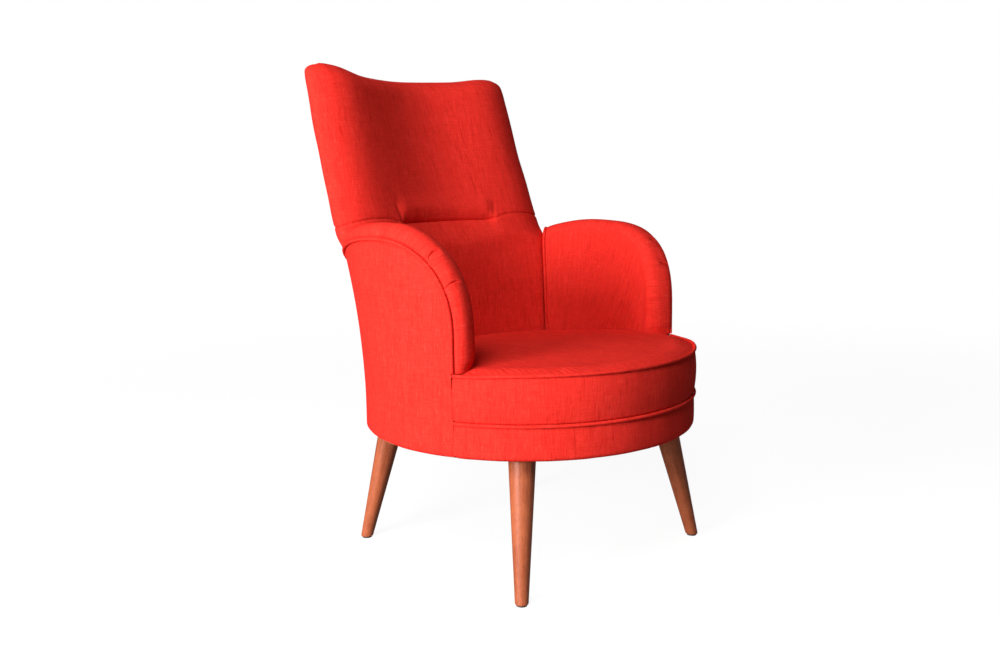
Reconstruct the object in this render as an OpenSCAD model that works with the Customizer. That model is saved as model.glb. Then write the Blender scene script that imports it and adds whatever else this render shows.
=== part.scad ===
/* [Overall] */
// Height of the two top corners of the back above the floor
back_top_z = 989; // [940:1:1040]
// Radius of the round drum that carries the seat
drum_r = 336; // [320:1:350]
// Height of the drum's underside above the floor
drum_bottom_z = 259; // [240:1:275]
// Height of the piped seam between the two front bands
band_seam_z = 325; // [315:1:335]
// Height of the piped front edge of the seat
seat_edge_z = 415; // [405:1:425]

/* [Legs] */
// Diameter of a leg under the drum
leg_top_d = 50; // [44:0.5:54]
// Diameter of a leg at the floor
leg_foot_d = 24; // [22:0.5:32]
// Angle that each leg leans outward
leg_splay = 14.1; // [8:0.1:17]
// Distance of the front leg tops in from the drum's outside
leg_front_set = 58; // [52:1:66]
// Distance of the rear leg tops in from the drum's outside
leg_rear_set = 51; // [46:1:66]
// Angle of the front legs from straight ahead
leg_front_angle = 47.5; // [40:0.5:55]
// Angle of the rear legs from straight ahead
leg_rear_angle = 136; // [128:0.5:142]
// Width that the bead at a leg's top stands out all round
bead_out = 1.5; // [0.5:0.1:3]
// Height of the bead at a leg's top
bead_h = 4; // [2:0.5:8]
// Diameter of the glide under a foot
glide_d = 20; // [16:0.5:21]
// Thickness of the glide under a foot
glide_t = 3; // [2:0.5:5]
// Diameter of the pin that holds a glide
glide_pin_d = 5; // [3:0.5:6]
// Length of the pin that holds a glide
glide_pin_l = 14; // [8:1:20]
// Thread diameter of the bolt in a leg
leg_bolt_d = 10; // [8:0.5:12]
// Depth of the bolt in a leg
leg_bolt_depth = 45; // [30:1:60]

/* [Seat] */
// Rise of the middle of the seat over its edge
seat_crown = 14; // [8:1:18]
// Fall of the seat towards the back
seat_fall = 15; // [8:1:18]
// Swell of the upper front band between its seams
boxing_swell = 4; // [2:0.5:6]
// Radius that turns the lower band under the drum
drum_round = 9; // [6:0.5:12]

/* [Arms] */
// Angle of an arm's front end from straight ahead
arm_front_angle = 68.3; // [64:0.1:72]
// Angle of the highest place of an arm
arm_top_angle = 100; // [94:0.5:104]
// Height where an arm's front starts to bend over
arm_straight_z = 475; // [455:1:495]
// Height of an arm's outer seam at its highest
arm_top_z = 647; // [630:1:665]
// Fullness of the bend of an arm, where 2 is an ellipse
arm_fullness_share = 2.4; // [2:0.1:3]
// Fall of an arm's outer seam towards the back
arm_rear_drop = 55; // [40:1:65]
// Thickness of an arm
arm_wall = 56; // [52:1:62]
// Swell of an arm's padding over the line between its outer seam and its inner edge
arm_crown = 13; // [8:0.5:16]
// Height of the inner edge of an arm's padding over its outer seam
arm_rise = 11; // [4:0.5:14]
// Depth of the foam on the inner face of an arm's board, and of the padding's rounded foot
arm_shoulder = 22; // [16:1:28]
// Depth of the two sewn pleats in an arm's bend
pleat_depth = 2.5; // [1.5:0.1:3]
// Height over the floor where the tub starts to flare to the rear
flare_from_z = 320; // [300:1:340]
// Outward flare of the tub's rear corners
flare_out = 43; // [34:1:48]

/* [Back] */
// Distance of the back's rounded edges in from the drum's side, at the arms
back_side_set = 89; // [84:1:96]
// Distance of the back's rounded edges in from the drum's rear, at the seat
back_rear_set = 145; // [138:1:152]
// Distance that each rounded edge of the back draws in up to the top corner
back_narrowing = 13; // [4:1:24]
// Width of the back's side between its outer seam and the arm's joint, at the seat
joint_low_set = 53.8; // [50:0.1:58]
// Width of the back's side between its outer seam and the arm's joint, at the arm's top
joint_top_set = 42.5; // [40:0.1:46]
// Radius of the rounded edges of the back
back_edge_r = 36; // [34:0.5:38]
// Lean of the back from upright at the seat
lean_low = 6.8; // [5:0.1:9]
// Lean of the upper back from upright
lean_top = 19.9; // [17:0.1:22]
// Height where the lean settles
lean_settle_z = 660; // [640:1:680]
// Hollow of the back across its width, low down
hollow_low = 47; // [38:1:52]
// Hollow of the back across its width, at the deep channel
hollow_mid = 28; // [22:1:36]
// Hollow of the back across its width, at the top
hollow_top = 43; // [36:1:46]
// Height of the deep sewn channel across the back
channel_z = 668; // [660:1:680]
// Half length of the deep sewn channel
channel_half = 130; // [100:1:150]
// Depth of the deep sewn channel
channel_depth = 13; // [8:0.5:16]
// Dip of the top edge between the two corners
top_dip = 12; // [4:1:24]
// Lean of the rear face from upright
rear_lean = 17.6; // [17:0.1:19]
// Height where the rear face starts to lean
rear_lean_from_z = 460; // [440:1:480]
// Height where the lean of the rear face settles
rear_settle_z = 760; // [740:1:780]

/* [Upholstery] */
// Thickness of the covering with its lining
cover_t = 2; // [1:0.1:2.6]
// Diameter of the piping
piping_d = 6.5; // [5:0.1:8]
// Thickness of the foam on the drum's front
drum_foam_t = 14; // [10:0.5:18]
// Thickness of the dust cover's cloth
dust_t = 1; // [0.6:0.1:1.6]
// Number of staples in the dust cover
staple_count = 24; // [12:1:36]

/* [Frame] */
// Thickness of the bent boards and rails
board_t = 18; // [15:0.5:18.4]
// Thickness of the two flat rings in the drum
ring_t = 22; // [18:0.5:24]
// Width of the two flat rings in the drum
ring_w = 88; // [80:1:100]
// Thickness of the bent board behind the front bands
facing_t = 3; // [2:0.5:4]
// Height of the leg blocks between the rings
block_h = 28; // [24:0.5:34]
// Width of a leg block
block_w = 76; // [64:1:84]
// Width of a post between the rings
post_w = 46; // [36:1:56]
// Width of the uprights in the back's edges
upright_w = 22; // [18:0.5:23]
// Height of a back rail
rail_h = 42; // [34:1:50]
// Width of the webbing
webbing_w = 50; // [40:1:60]
// Thickness of the webbing
webbing_t = 2; // [1:0.1:2.6]
// Thickness of the hessian over the seat webbing
hessian_t = 1; // [0.6:0.1:1.6]
// Diameter of the frame screws
screw_d = 5; // [4:0.5:6]
// Length of the frame screws
screw_l = 36; // [28:1:42]
// Thickness of the thin board behind the outside back
backing_t = 3; // [2:0.5:4]

/* [Hidden] */

cloth = [0.86, 0.16, 0.13];
wood = [0.62, 0.34, 0.19];
board = [0.80, 0.66, 0.46];
foam = [0.93, 0.88, 0.70];
jute = [0.62, 0.52, 0.36];
steel = [0.66, 0.67, 0.69];
cambric = [0.12, 0.12, 0.13];
nylon = [0.25, 0.24, 0.23];

// Clearances between layers and between pieces that only touch
layer_gap = 0.4;
curve_gap = 1;
fit_gap = 0.3;
bore_gap = 0.1;

// Counts and shares that set how finely the soft forms are drawn
arc_columns = 16;
front_columns = 3;
rear_columns = 7;
crown_rows = 6;
face_rows = 2;
sheet_rows = 6;
back_rows = 8;
top_rows = 5;
side_columns = 6;
foam_side_from = 2;
half_columns = 7;
cord_sides = 8;
ring_columns = 14;
strap_rows = 5;
rear_rows = 5;
flare_share = 1.8;
hollow_share = 2.2;
row_share = 1.4;
foam_in_share = 0.55;
upright_deep_share = 1.8;
board_reach_share = 0.93;
strap_shares = [-0.72, -0.25, 0.25, 0.72];
pleat_shares = [0.44, 0.76];
pleat_wide_share = 0.07;
ridge_share = 0.8;
nut_share = 0.65;
flange_share = 1.2;
thin_share = 0.15;
block_depth_share = 0.9;
head_share = 0.6;
step_share = 1.24;

// Directions in plan, from straight ahead
flare_start_angle = 88;
rear_seam_angle = 137;
edge_seam_angle = 75;
post_angles = [0, 90, 180, 270];

// Heights in the drum, from its underside upward
under_z = drum_bottom_z + dust_t + fit_gap;
base_z = under_z + cover_t + fit_gap;
base_top = base_z + ring_t;
seat_ring_z = base_top + block_h + fit_gap;
seat_ring_top = seat_ring_z + ring_t;
web_z = seat_ring_top + fit_gap;
cross_web_z = web_z + webbing_t + fit_gap;
hessian_z = cross_web_z + webbing_t + fit_gap;
foam_z = hessian_z + hessian_t + fit_gap;

// Layers of the tub's wall, counted inward from its outer face
pipe_r = piping_d / 2;
skin_d = cover_t + layer_gap;
board_out_d = cover_t + curve_gap;
board_in_d = board_out_d + board_t;
crown_start = pipe_r + layer_gap;
ring_r = drum_r - board_in_d - layer_gap;
pipe_ring_r = drum_r - cover_t + pipe_r;
seat_r = drum_r - arm_wall;
joint_low_angle = rear_seam_angle - turn_of(joint_low_set, seat_r);
joint_top_angle = rear_seam_angle - turn_of(joint_top_set, seat_r);
leg_front_r = drum_r - leg_front_set;
leg_rear_r = drum_r - leg_rear_set;
back_low_x = drum_r - back_side_set;
back_top_x = back_low_x - back_narrowing;
back_base_y = drum_r - back_rear_set;
joint_turn = turn_of(crown_start, seat_r);
foot_z = seat_edge_z + max(crown_start,
  layer_gap - pipe_r + seat_crown * (1 - pow(seat_r / drum_r, 4)));
arm_rear_z = arm_top_z - arm_rear_drop
  * pow((joint_top_angle - arm_top_angle) / (rear_seam_angle - arm_top_angle), 2);
lean_from_z = seat_edge_z - seat_fall;
// Height over which the back's edges round out of the arms
emerge_h = drum_foam_t * 3;
tip_r = cover_t / 2;

// The drum's middle lies forward of the part's middle
drum_y = (pipe_ring_r + pipe_r - rear_mid_y(back_top_z - back_edge_r * ridge_share)) / 2;

function lerp(a, b, f) = a + (b - a) * f;
function ease(a, b, x) = let (f = min(1, max(0, (x - a) / (b - a)))) f * f * (3 - 2 * f);
// Angles run from straight ahead towards the right-hand side
function polar(t, r, z) = [r * sin(t), -r * cos(t), z];
function turn_of(l, r) = l / r * 180 / PI;
function mirrored(p) = [-p[0], p[1], p[2]];
function mean(points) = [for (p = points) 1] * points / len(points);

// Radius of the tub's outer face: a round drum that flares at its rear corners
function tub_r(t, z) = drum_r + flare_out
  * pow(max(0, z - flare_from_z) / (arm_top_z - flare_from_z), flare_share)
  * ease(flare_start_angle, rear_seam_angle, abs(t));
function wall_point(side, at, d) = polar(side * at[0], tub_r(at[0], at[1]) - d, at[1]);

// Outer seam of an arm as [angle, height]: upright, a full bend, then a slow fall
function arm_seam(rear_t) = concat(
  [for (i = [0:front_columns - 1])
    [arm_front_angle, lerp(foot_z, arm_straight_z, i / front_columns)]],
  [for (i = [0:arc_columns]) let (a = 90 * i / arc_columns, e = 2 / arm_fullness_share)
    [arm_top_angle - (arm_top_angle - arm_front_angle) * pow(max(0, cos(a)), e),
     arm_straight_z + (arm_top_z - arm_straight_z) * pow(sin(a), e)]],
  [for (i = [1:rear_columns]) let (t = lerp(arm_top_angle, rear_t, i / rear_columns))
    [t, arm_top_z - arm_rear_drop * pow((t - arm_top_angle) / (rear_seam_angle - arm_top_angle), 2)]]);
whole_seam = arm_seam(rear_seam_angle);
arm_end_seam = arm_seam(joint_top_angle - joint_turn);
seam_last = len(whole_seam) - 1;

// Place in the wall's face at a height h outside a seam point, as [angle, height]
function off_seam(seam, i, h) = let (
  a = seam[max(0, i - 1)], b = seam[min(seam_last, i + 1)],
  along = (b[0] - a[0]) * drum_r * PI / 180, up = b[1] - a[1],
  out = i == seam_last ? [0, 1] : [-up, along] / norm([along, up]))
  [seam[i][0] + turn_of(h * out[0], drum_r), seam[i][1] + h * out[1]];

// Two sewn pleats draw the padding in across the bend
function pleat(z) = let (f = (z - arm_straight_z) / (arm_top_z - arm_straight_z))
  pleat_depth * (2 - ease(0, pleat_wide_share, abs(f - pleat_shares[0]))
    - ease(0, pleat_wide_share, abs(f - pleat_shares[1])));
// Padding's section over the wall: [depth, height over the seam] at an angle 0 to 180. Its inner
// edge stands proud of the seam, but is drawn back at the foot.
function crown_at(z, a, inset) =
  [inset + (arm_wall - 2 * inset) * (1 - cos(a)) / 2,
   crown_start + (arm_crown - inset - pleat(z)) * sin(a)
     + lerp(-arm_shoulder, arm_rise, ease(foot_z, foot_z + arm_shoulder, z)) * (1 - cos(a)) / 2];
// Where column i of an arm's inside face meets its low edge
function arm_low(i, low_z) = [lerp(arm_front_angle + turn_of(arm_shoulder, drum_r),
  joint_low_angle - joint_turn, i / seam_last), low_z];
// A column down the inside face: from the padding's inner edge to the seat, which stands before the
// arm's front, then down to the low edge
function face_column(side, i, d, h, low_z) =
  let (top = off_seam(arm_end_seam, i, h), low = arm_low(i, low_z),
    seated = lerp(top, low, (top[1] - foot_z) / (top[1] - low_z)),
    knee = [max(seated[0], arm_front_angle + turn_of(arm_shoulder - crown_start, seat_r)), foot_z])
  [for (end = [[top, knee], [knee, low]], j = [1:face_rows])
    wall_point(side, lerp(end[0], end[1], j / face_rows), d)];
function arm_skin(side, inset, low_z) = [for (i = [0:seam_last])
  let (end = crown_at(arm_end_seam[i][1], 180, inset))
  concat(
    [for (j = [0:crown_rows]) let (c = crown_at(arm_end_seam[i][1], 180 * j / crown_rows, inset))
      wall_point(side, off_seam(arm_end_seam, i, c[1]), c[0])],
    face_column(side, i, end[0], end[1], low_z))];
// The side of an arm's foam that lies on its board's edge and inner face
function arm_core(side, low_z) = let (d_in = board_in_d + curve_gap, h_top = -crown_start - layer_gap)
  [for (i = [0:seam_last]) concat(
    [for (j = [0:crown_rows]) let (f = 2 * j / crown_rows)
      wall_point(side, off_seam(arm_end_seam, i, lerp(h_top, -arm_shoulder, max(0, f - 1))),
        lerp(board_out_d * 2, d_in, min(1, f)))],
    face_column(side, i, d_in, -arm_shoulder, low_z))];

// Sheet of the wall under a seam, from a height under it down to a low edge
function wall_sheet(side, seam, h, d, low_front, low_rear, low_z) = [for (i = [0:seam_last])
  let (top = off_seam(seam, i, h), low = [lerp(low_front, low_rear, i / seam_last), low_z])
  [for (j = [0:sheet_rows]) wall_point(side, lerp(top, low, j / sheet_rows), d)]];

// Middle line of the back's rounded edge: it leans more and more up to a settled lean
function lean_y(z) = let (low = tan(lean_low), top = tan(lean_top), span = lean_settle_z - lean_from_z,
  h = z - lean_from_z) back_base_y + (h < span ? low * h + (top - low) * h * h / (2 * span)
    : (low + top) / 2 * span + top * (h - span));
function edge_x(z) = lerp(back_low_x, back_top_x, (z - arm_top_z) / (back_top_z - arm_top_z));
function hollow(z) = z < channel_z
  ? lerp(hollow_low, hollow_mid, (z - lean_from_z) / (channel_z - lean_from_z))
  : lerp(hollow_mid, hollow_top, (z - channel_z) / (back_top_z - channel_z));
function emerged(z) = ease(arm_rear_z - emerge_h / 4, arm_rear_z + emerge_h * 3 / 4, z);
function joint_angle(z) = lerp(joint_low_angle, joint_top_angle,
  (z - foam_z) / (arm_rear_z - foam_z));
function inner_turn(inset) = joint_turn + turn_of(inset, seat_r);
// Front end of the back's face: at the arm's joint low down, on the rounded edge above
function face_end(z, inset) = let (t = joint_angle(z)) lerp(
  polar(t + inner_turn(inset), tub_r(t, z) - arm_wall + inset, z),
  [edge_x(z), lean_y(z) - back_edge_r + inset, z], emerged(z));
function side_point(z, inset, f) = let (
  t = joint_angle(z), r = tub_r(t, z), a = lerp(edge_seam_angle, -90, f), w = back_edge_r - inset)
  lerp(polar(t + inner_turn(inset), lerp(r - board_out_d, r - arm_wall + inset, f), z),
    [edge_x(z) + w * cos(a), lean_y(z) + w * sin(a), z], emerged(z));
function channel(x, z) = channel_depth * (1 - ease(0, channel_depth * 2, abs(z - channel_z)))
  * (1 - ease(channel_half - channel_depth, channel_half + channel_depth, abs(x)));
function face_y(x, z, inset, deep) = let (end = face_end(z, inset))
  end[1] + (hollow(z) + deep) * (1 - pow(abs(x) / end[0], hollow_share));
function dip(x, z) = z < channel_z ? 0 : top_dip * (z - channel_z) / (back_top_z - channel_z)
  * (1 - pow(min(1, abs(x) / edge_x(z)), 2));

// One row across the back's front, from its right edge round to its left edge
function back_row(z, inset, deep, from) = let (
  wide = face_end(z, inset)[0],
  right = [for (i = [from:side_columns]) side_point(z, inset, i / side_columns)],
  face = [for (i = [1 - half_columns:half_columns - 1]) let (x = -wide * i / half_columns)
    [x, face_y(x, z, inset, deep) + (deep > 0 ? 0 : channel(x, z)), z - dip(x, z)]])
  concat(right, face, [for (i = [side_columns - from:-1:0]) mirrored(right[i])]);
low_heights = [for (i = [0:back_rows])
  lerp(foam_z, channel_z - layer_gap, 1 - pow(1 - i / back_rows, row_share))];
// Rows from a low height to the top's rounding, which draws in to the ridge
function back_rows_from(z_low, inset, deep, from) = concat(
  [for (i = [0:back_rows]) back_row(lerp(z_low, back_top_z - back_edge_r, i / back_rows),
    inset, deep, from)],
  [for (i = [1:top_rows]) let (a = 90 * i / top_rows, w = back_edge_r - inset,
    drawn = min(back_edge_r - tip_r, inset + w * (1 - cos(a))))
    back_row(back_top_z - back_edge_r + w * sin(a), drawn,
      deep > 0 ? max(layer_gap, deep + inset - drawn) : 0, from)]);

// Rear face: upright in the drum, then it leans and rounds in at the top
function rear_mid_y(z) = let (h = z - rear_lean_from_z, span = rear_settle_z - rear_lean_from_z)
  drum_r + tan(rear_lean) * (h < 0 ? 0 : h < span ? h * h / (2 * span) : h - span / 2);
function rear_end(z, inset) = let (w = back_edge_r - inset, a = edge_seam_angle + turn_of(layer_gap, w))
  lerp(polar(rear_seam_angle + turn_of(layer_gap, drum_r), tub_r(rear_seam_angle, z) - inset, z),
    [edge_x(z) + w * cos(a), lean_y(z) + w * sin(a), z],
    ease(arm_rear_z - emerge_h, arm_rear_z + emerge_h, z));
function rear_y(x, z, inset) = let (end = rear_end(z, inset), mid = rear_mid_y(z) - inset,
  s = mid - end[1], r = (end[0] * end[0] + s * s) / (2 * s)) mid - r + sqrt(r * r - x * x);
function rear_row(z, inset, reach) = let (wide = rear_end(z, inset)[0] * reach)
  [for (i = [-half_columns:half_columns]) let (x = wide * i / half_columns)
    [x, rear_y(x, z, inset), z - dip(x, z)]];

// Height of the seat's cloth: crowned, and falling towards the back
function seat_z(x, y) = seat_edge_z - pipe_r
  + seat_crown * (1 - pow(norm([x, y]) / drum_r, 4)) - seat_fall * ease(-drum_r / 4, drum_r / 2, y);
// Outline of the seat: round at the front, narrower between the arms, hollow at the back
seat_joint = [(seat_r - curve_gap) * sin(joint_low_angle), -(seat_r - curve_gap) * cos(joint_low_angle)];
seat_sides = [for (i = [0:8])
  polar(lerp(arm_front_angle + turn_of(layer_gap, seat_r), joint_low_angle, i / 8),
    seat_r - curve_gap, 0)];
seat_outline = concat(
  [for (i = [-ring_columns:ring_columns])
    polar((arm_front_angle - turn_of(pipe_r, drum_r)) * i / ring_columns, drum_r - skin_d, 0)],
  seat_sides,
  [for (i = [half_columns - 1:-1:1 - half_columns]) let (x = seat_joint[0] * i / half_columns)
    [x, min(face_y(x, foam_z, 0, 0), seat_joint[1] + hollow_low) - layer_gap * 2, 0]],
  [for (i = [8:-1:0]) mirrored(seat_sides[i])]);
function seat_ring_at(share, drop) = [for (p = seat_outline) let (x = p[0] * share, y = p[1] * share)
  [x, y, seat_z(x, y) - drop]];
// Swell of the upper front band at a height
function swell(z) = boxing_swell
  * sin(180 * min(1, max(0, (z - band_seam_z) / (seat_edge_z - band_seam_z))));

// Closed solid from its points and triangles, turned the right way out
module closed(points, faces) {
  volume = [for (f = faces) 1] * [for (f = faces) points[f[0]] * cross(points[f[1]], points[f[2]])];
  polyhedron(points = points, faces = volume < 0 ? faces : [for (f = faces) [f[2], f[1], f[0]]]);
}

// Sheet solid between two grids of points with the same rows and columns
module slab(a, b) {
  rows = len(a);
  cols = len(a[0]);
  function at(s, r, c) = (s * rows + r) * cols + c;
  function quad(p, q, r, s) = [[p, q, r], [p, r, s]];
  faces = concat(
    [for (r = [0:rows - 2], c = [0:cols - 2])
      each quad(at(0, r, c), at(0, r, c + 1), at(0, r + 1, c + 1), at(0, r + 1, c))],
    [for (r = [0:rows - 2], c = [0:cols - 2])
      each quad(at(1, r, c), at(1, r + 1, c), at(1, r + 1, c + 1), at(1, r, c + 1))],
    [for (c = [0:cols - 2]) each concat(
      quad(at(0, 0, c + 1), at(0, 0, c), at(1, 0, c), at(1, 0, c + 1)),
      quad(at(0, rows - 1, c), at(0, rows - 1, c + 1), at(1, rows - 1, c + 1), at(1, rows - 1, c)))],
    [for (r = [0:rows - 2]) each concat(
      quad(at(0, r, 0), at(0, r + 1, 0), at(1, r + 1, 0), at(1, r, 0)),
      quad(at(0, r + 1, cols - 1), at(0, r, cols - 1), at(1, r, cols - 1), at(1, r + 1, cols - 1)))]);
  closed([for (grid = [a, b], row = grid) each row], faces);
}

// Solid through a row of rings, closed with a point at each end
module loft(rings) {
  n = len(rings);
  m = len(rings[0]);
  function at(r, k) = 1 + r * m + k % m;
  faces = concat(
    [for (r = [0:n - 2], k = [0:m - 1]) each [
      [at(r, k), at(r + 1, k), at(r + 1, k + 1)], [at(r, k), at(r + 1, k + 1), at(r, k + 1)]]],
    [for (k = [0:m - 1]) each [
      [0, at(0, k), at(0, k + 1)], [1 + n * m, at(n - 1, k + 1), at(n - 1, k)]]]);
  closed(concat([mean(rings[0])], [for (ring = rings) each ring], [mean(rings[n - 1])]), faces);
}

// Round cord along a row of points; each ring is squared to the row
module cord(path, aims, r) {
  last = len(path) - 1;
  loft([for (i = [0:last]) let (
    run = path[min(last, i + 1)] - path[max(0, i - 1)], t = run / norm(run),
    u0 = aims[i] - t * (aims[i] * t), u = u0 / norm(u0), v = cross(t, u))
    [for (k = [0:cord_sides - 1]) let (a = 360 * k / cord_sides)
      path[i] + r * (cos(a) * u + sin(a) * v)]]);
}

module in_frame(colour) color(colour) translate([0, drum_y, 0]) children();
// A section turned about the drum's axis, even to both sides of the front
module front_arc(half) rotate([0, 0, -90 - half]) rotate_extrude(angle = 2 * half, $fn = 96) children();
module both_sides() for (side = [-1, 1]) scale([side, 1, 1]) children();

// Legs: their middle line starts at the floor and leans inward as it rises
leg_run = base_z - glide_t;
leg_angles = [leg_front_angle, leg_rear_angle];
leg_radii = [leg_front_r, leg_rear_r];
leg_l = leg_run / cos(leg_splay);
bolt_top = leg_l + (ring_t + block_h) / cos(leg_splay);
nut_r = leg_bolt_d * nut_share;
nut_flange_r = leg_bolt_d * flange_share;
nut_flange_t = leg_bolt_d * thin_share;
nut_l = leg_bolt_d;
nut_top = bolt_top - nut_flange_r * sin(leg_splay) - nut_flange_t - fit_gap;

// Local frame of a leg: its own axis is up, from the foot's middle
module at_leg(angle, r) rotate([0, 0, angle])
  translate([0, -r - leg_run * tan(leg_splay), glide_t]) rotate([-leg_splay, 0, 0]) children();
module at_foot(angle, r) rotate([0, 0, angle])
  translate([0, -r - leg_run * tan(leg_splay), 0]) children();
module each_leg() for (side = [-1, 1], i = [0, 1]) at_leg(side * leg_angles[i], leg_radii[i]) children();

module leg(angle, r) in_frame(wood) difference() {
  union() {
    intersection() {
      at_leg(angle, r) translate([0, 0, -leg_top_d]) cylinder(
        h = leg_l + 2 * leg_top_d,
        r1 = leg_foot_d / 2 - (leg_top_d - leg_foot_d) / 2 * leg_top_d / leg_l,
        r2 = leg_top_d / 2 + (leg_top_d - leg_foot_d) / 2 * leg_top_d / leg_l, $fn = 64);
      translate([-drum_r * 2, -drum_r * 2, glide_t]) cube([drum_r * 4, drum_r * 4, leg_run]);
    }
    rotate([0, 0, angle])
      translate([0, -r - (base_z - drum_bottom_z) * tan(leg_splay), drum_bottom_z - bead_h - fit_gap])
      cylinder(h = bead_h, r = leg_top_d / 2 + bead_out, $fn = 64);
  }
  at_leg(angle, r) translate([0, 0, leg_l - leg_bolt_depth - fit_gap])
    cylinder(h = leg_bolt_depth * 2, r = leg_bolt_d / 2 + bore_gap, $fn = 32);
  at_foot(angle, r) translate([0, 0, glide_t - fit_gap])
    cylinder(h = glide_pin_l + 2 * fit_gap, r = glide_pin_d / 2 + bore_gap, $fn = 32);
}
module leg_front_left() leg(-leg_front_angle, leg_front_r);
module leg_front_right() leg(leg_front_angle, leg_front_r);
module leg_rear_left() leg(-leg_rear_angle, leg_rear_r);
module leg_rear_right() leg(leg_rear_angle, leg_rear_r);

module foot_glides() in_frame(nylon)
  for (side = [-1, 1], i = [0, 1]) at_foot(side * leg_angles[i], leg_radii[i]) {
    cylinder(h = glide_t, r = glide_d / 2, $fn = 48);
    cylinder(h = glide_t + glide_pin_l, r = glide_pin_d / 2, $fn = 32);
  }
module leg_bolts() in_frame(steel) each_leg()
  translate([0, 0, leg_l - leg_bolt_depth])
  cylinder(h = nut_top - leg_l + leg_bolt_depth, r = leg_bolt_d / 2, $fn = 32);
module leg_nuts() in_frame(steel) each_leg() difference() {
  union() {
    translate([0, 0, nut_top - nut_l]) cylinder(h = nut_l, r = nut_r, $fn = 32);
    translate([0, 0, nut_top - nut_flange_t]) cylinder(h = nut_flange_t, r = nut_flange_r, $fn = 48);
  }
  translate([0, 0, nut_top - nut_l * 2])
    cylinder(h = nut_l * 3, r = leg_bolt_d / 2 + bore_gap, $fn = 32);
}
module bolt_hollows() each_leg() {
  translate([0, 0, leg_l / 2]) cylinder(h = leg_l, r = leg_bolt_d / 2 + bore_gap, $fn = 32);
  translate([0, 0, nut_top - nut_l - bore_gap]) cylinder(h = leg_l, r = nut_r + bore_gap, $fn = 32);
  translate([0, 0, nut_top - nut_flange_t - bore_gap])
    cylinder(h = leg_l, r = nut_flange_r + bore_gap, $fn = 48);
}
// A block's outer corners never reach past the rings
module leg_blocks() in_frame(board) difference() {
  intersection() {
    for (side = [-1, 1], i = [0, 1]) rotate([0, 0, side * leg_angles[i]])
      translate([-block_w / 2, -leg_radii[i] + (ring_t + block_h / 2) * tan(leg_splay)
        - block_w * block_depth_share / 2, base_top])
      cube([block_w, block_w * block_depth_share, block_h]);
    translate([0, 0, base_z]) cylinder(h = ring_t + block_h * 2, r = ring_r, $fn = 120);
  }
  bolt_hollows();
}

// Flat rings, posts and screws of the drum
head_r = screw_d;
head_h = screw_d * head_share;
module frame_screw(extra) {
  cylinder(h = screw_l + extra, r = screw_d / 2 + extra, $fn = 24);
  cylinder(h = head_h, r1 = head_r + extra, r2 = screw_d / 2 + extra, $fn = 24);
}
module each_post() for (a = post_angles)
  rotate([0, 0, a]) translate([0, -ring_r + ring_w / 2, 0]) children();
module all_screws(extra) each_post() {
  translate([0, 0, base_z]) frame_screw(extra);
  translate([0, 0, seat_ring_top]) mirror([0, 0, 1]) frame_screw(extra);
}
module flat_ring(z) difference() {
  translate([0, 0, z]) cylinder(h = ring_t, r = ring_r, $fn = 120);
  translate([0, 0, z - ring_t]) cylinder(h = ring_t * 3, r = ring_r - ring_w, $fn = 120);
  all_screws(bore_gap);
}
module base_ring() in_frame(board) difference() {
  flat_ring(base_z);
  bolt_hollows();
}
module seat_ring() in_frame(board) flat_ring(seat_ring_z);
module ring_posts() in_frame(board) difference() {
  each_post() translate([-post_w / 2, -post_w / 2, base_top])
    cube([post_w, post_w, seat_ring_z - base_top]);
  all_screws(bore_gap);
}
module frame_screws() in_frame(steel) all_screws(0);
module drum_facing() in_frame(board) front_arc(arm_front_angle - turn_of(board_t, drum_r) / 2)
  translate([ring_r + fit_gap, base_z]) square([facing_t, seat_ring_top - base_z]);

// Padding and covering of the drum's front
foam_in_r = ring_r + fit_gap + facing_t + fit_gap;
foam_low = base_z + drum_round;
module drum_foam() in_frame(foam) front_arc(arm_front_angle - turn_of(board_t, drum_r) / 2)
  polygon(concat([[foam_in_r, foam_z - fit_gap], [foam_in_r, foam_low]],
    [for (i = [0:4]) let (z = lerp(foam_low, foam_z - fit_gap, i / 4)) [drum_r - skin_d + swell(z), z]]));
band_half = arm_front_angle - turn_of(layer_gap, drum_r);
module upper_band() in_frame(cloth) front_arc(band_half) polygon(concat(
  [for (i = [0:8]) let (z = lerp(band_seam_z + crown_start, seat_edge_z - crown_start, i / 8))
    [drum_r + swell(z), z]],
  [for (i = [8:-1:0]) let (z = lerp(band_seam_z + crown_start, seat_edge_z - crown_start, i / 8))
    [drum_r - cover_t + swell(z), z]]));
module lower_band() in_frame(cloth) front_arc(band_half) {
  r_mid = drum_r - drum_round;
  z_mid = under_z + drum_round;
  polygon(concat([[drum_r, band_seam_z - crown_start]],
    [for (i = [0:6]) let (a = 90 * i / 6) [r_mid + drum_round * cos(a), z_mid - drum_round * sin(a)]],
    [[ring_r + facing_t, under_z], [ring_r + facing_t, under_z + cover_t]],
    [for (i = [6:-1:0]) let (a = 90 * i / 6, r = drum_round - cover_t)
      [r_mid + r * cos(a), z_mid - r * sin(a)]],
    [[drum_r - cover_t, band_seam_z - crown_start]]));
}
module ring_piping(z) front_arc(band_half) translate([pipe_ring_r, z]) circle(r = pipe_r, $fn = 24);
module seat_piping() in_frame(cloth) ring_piping(seat_edge_z);
module band_piping() in_frame(cloth) ring_piping(band_seam_z);

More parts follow.
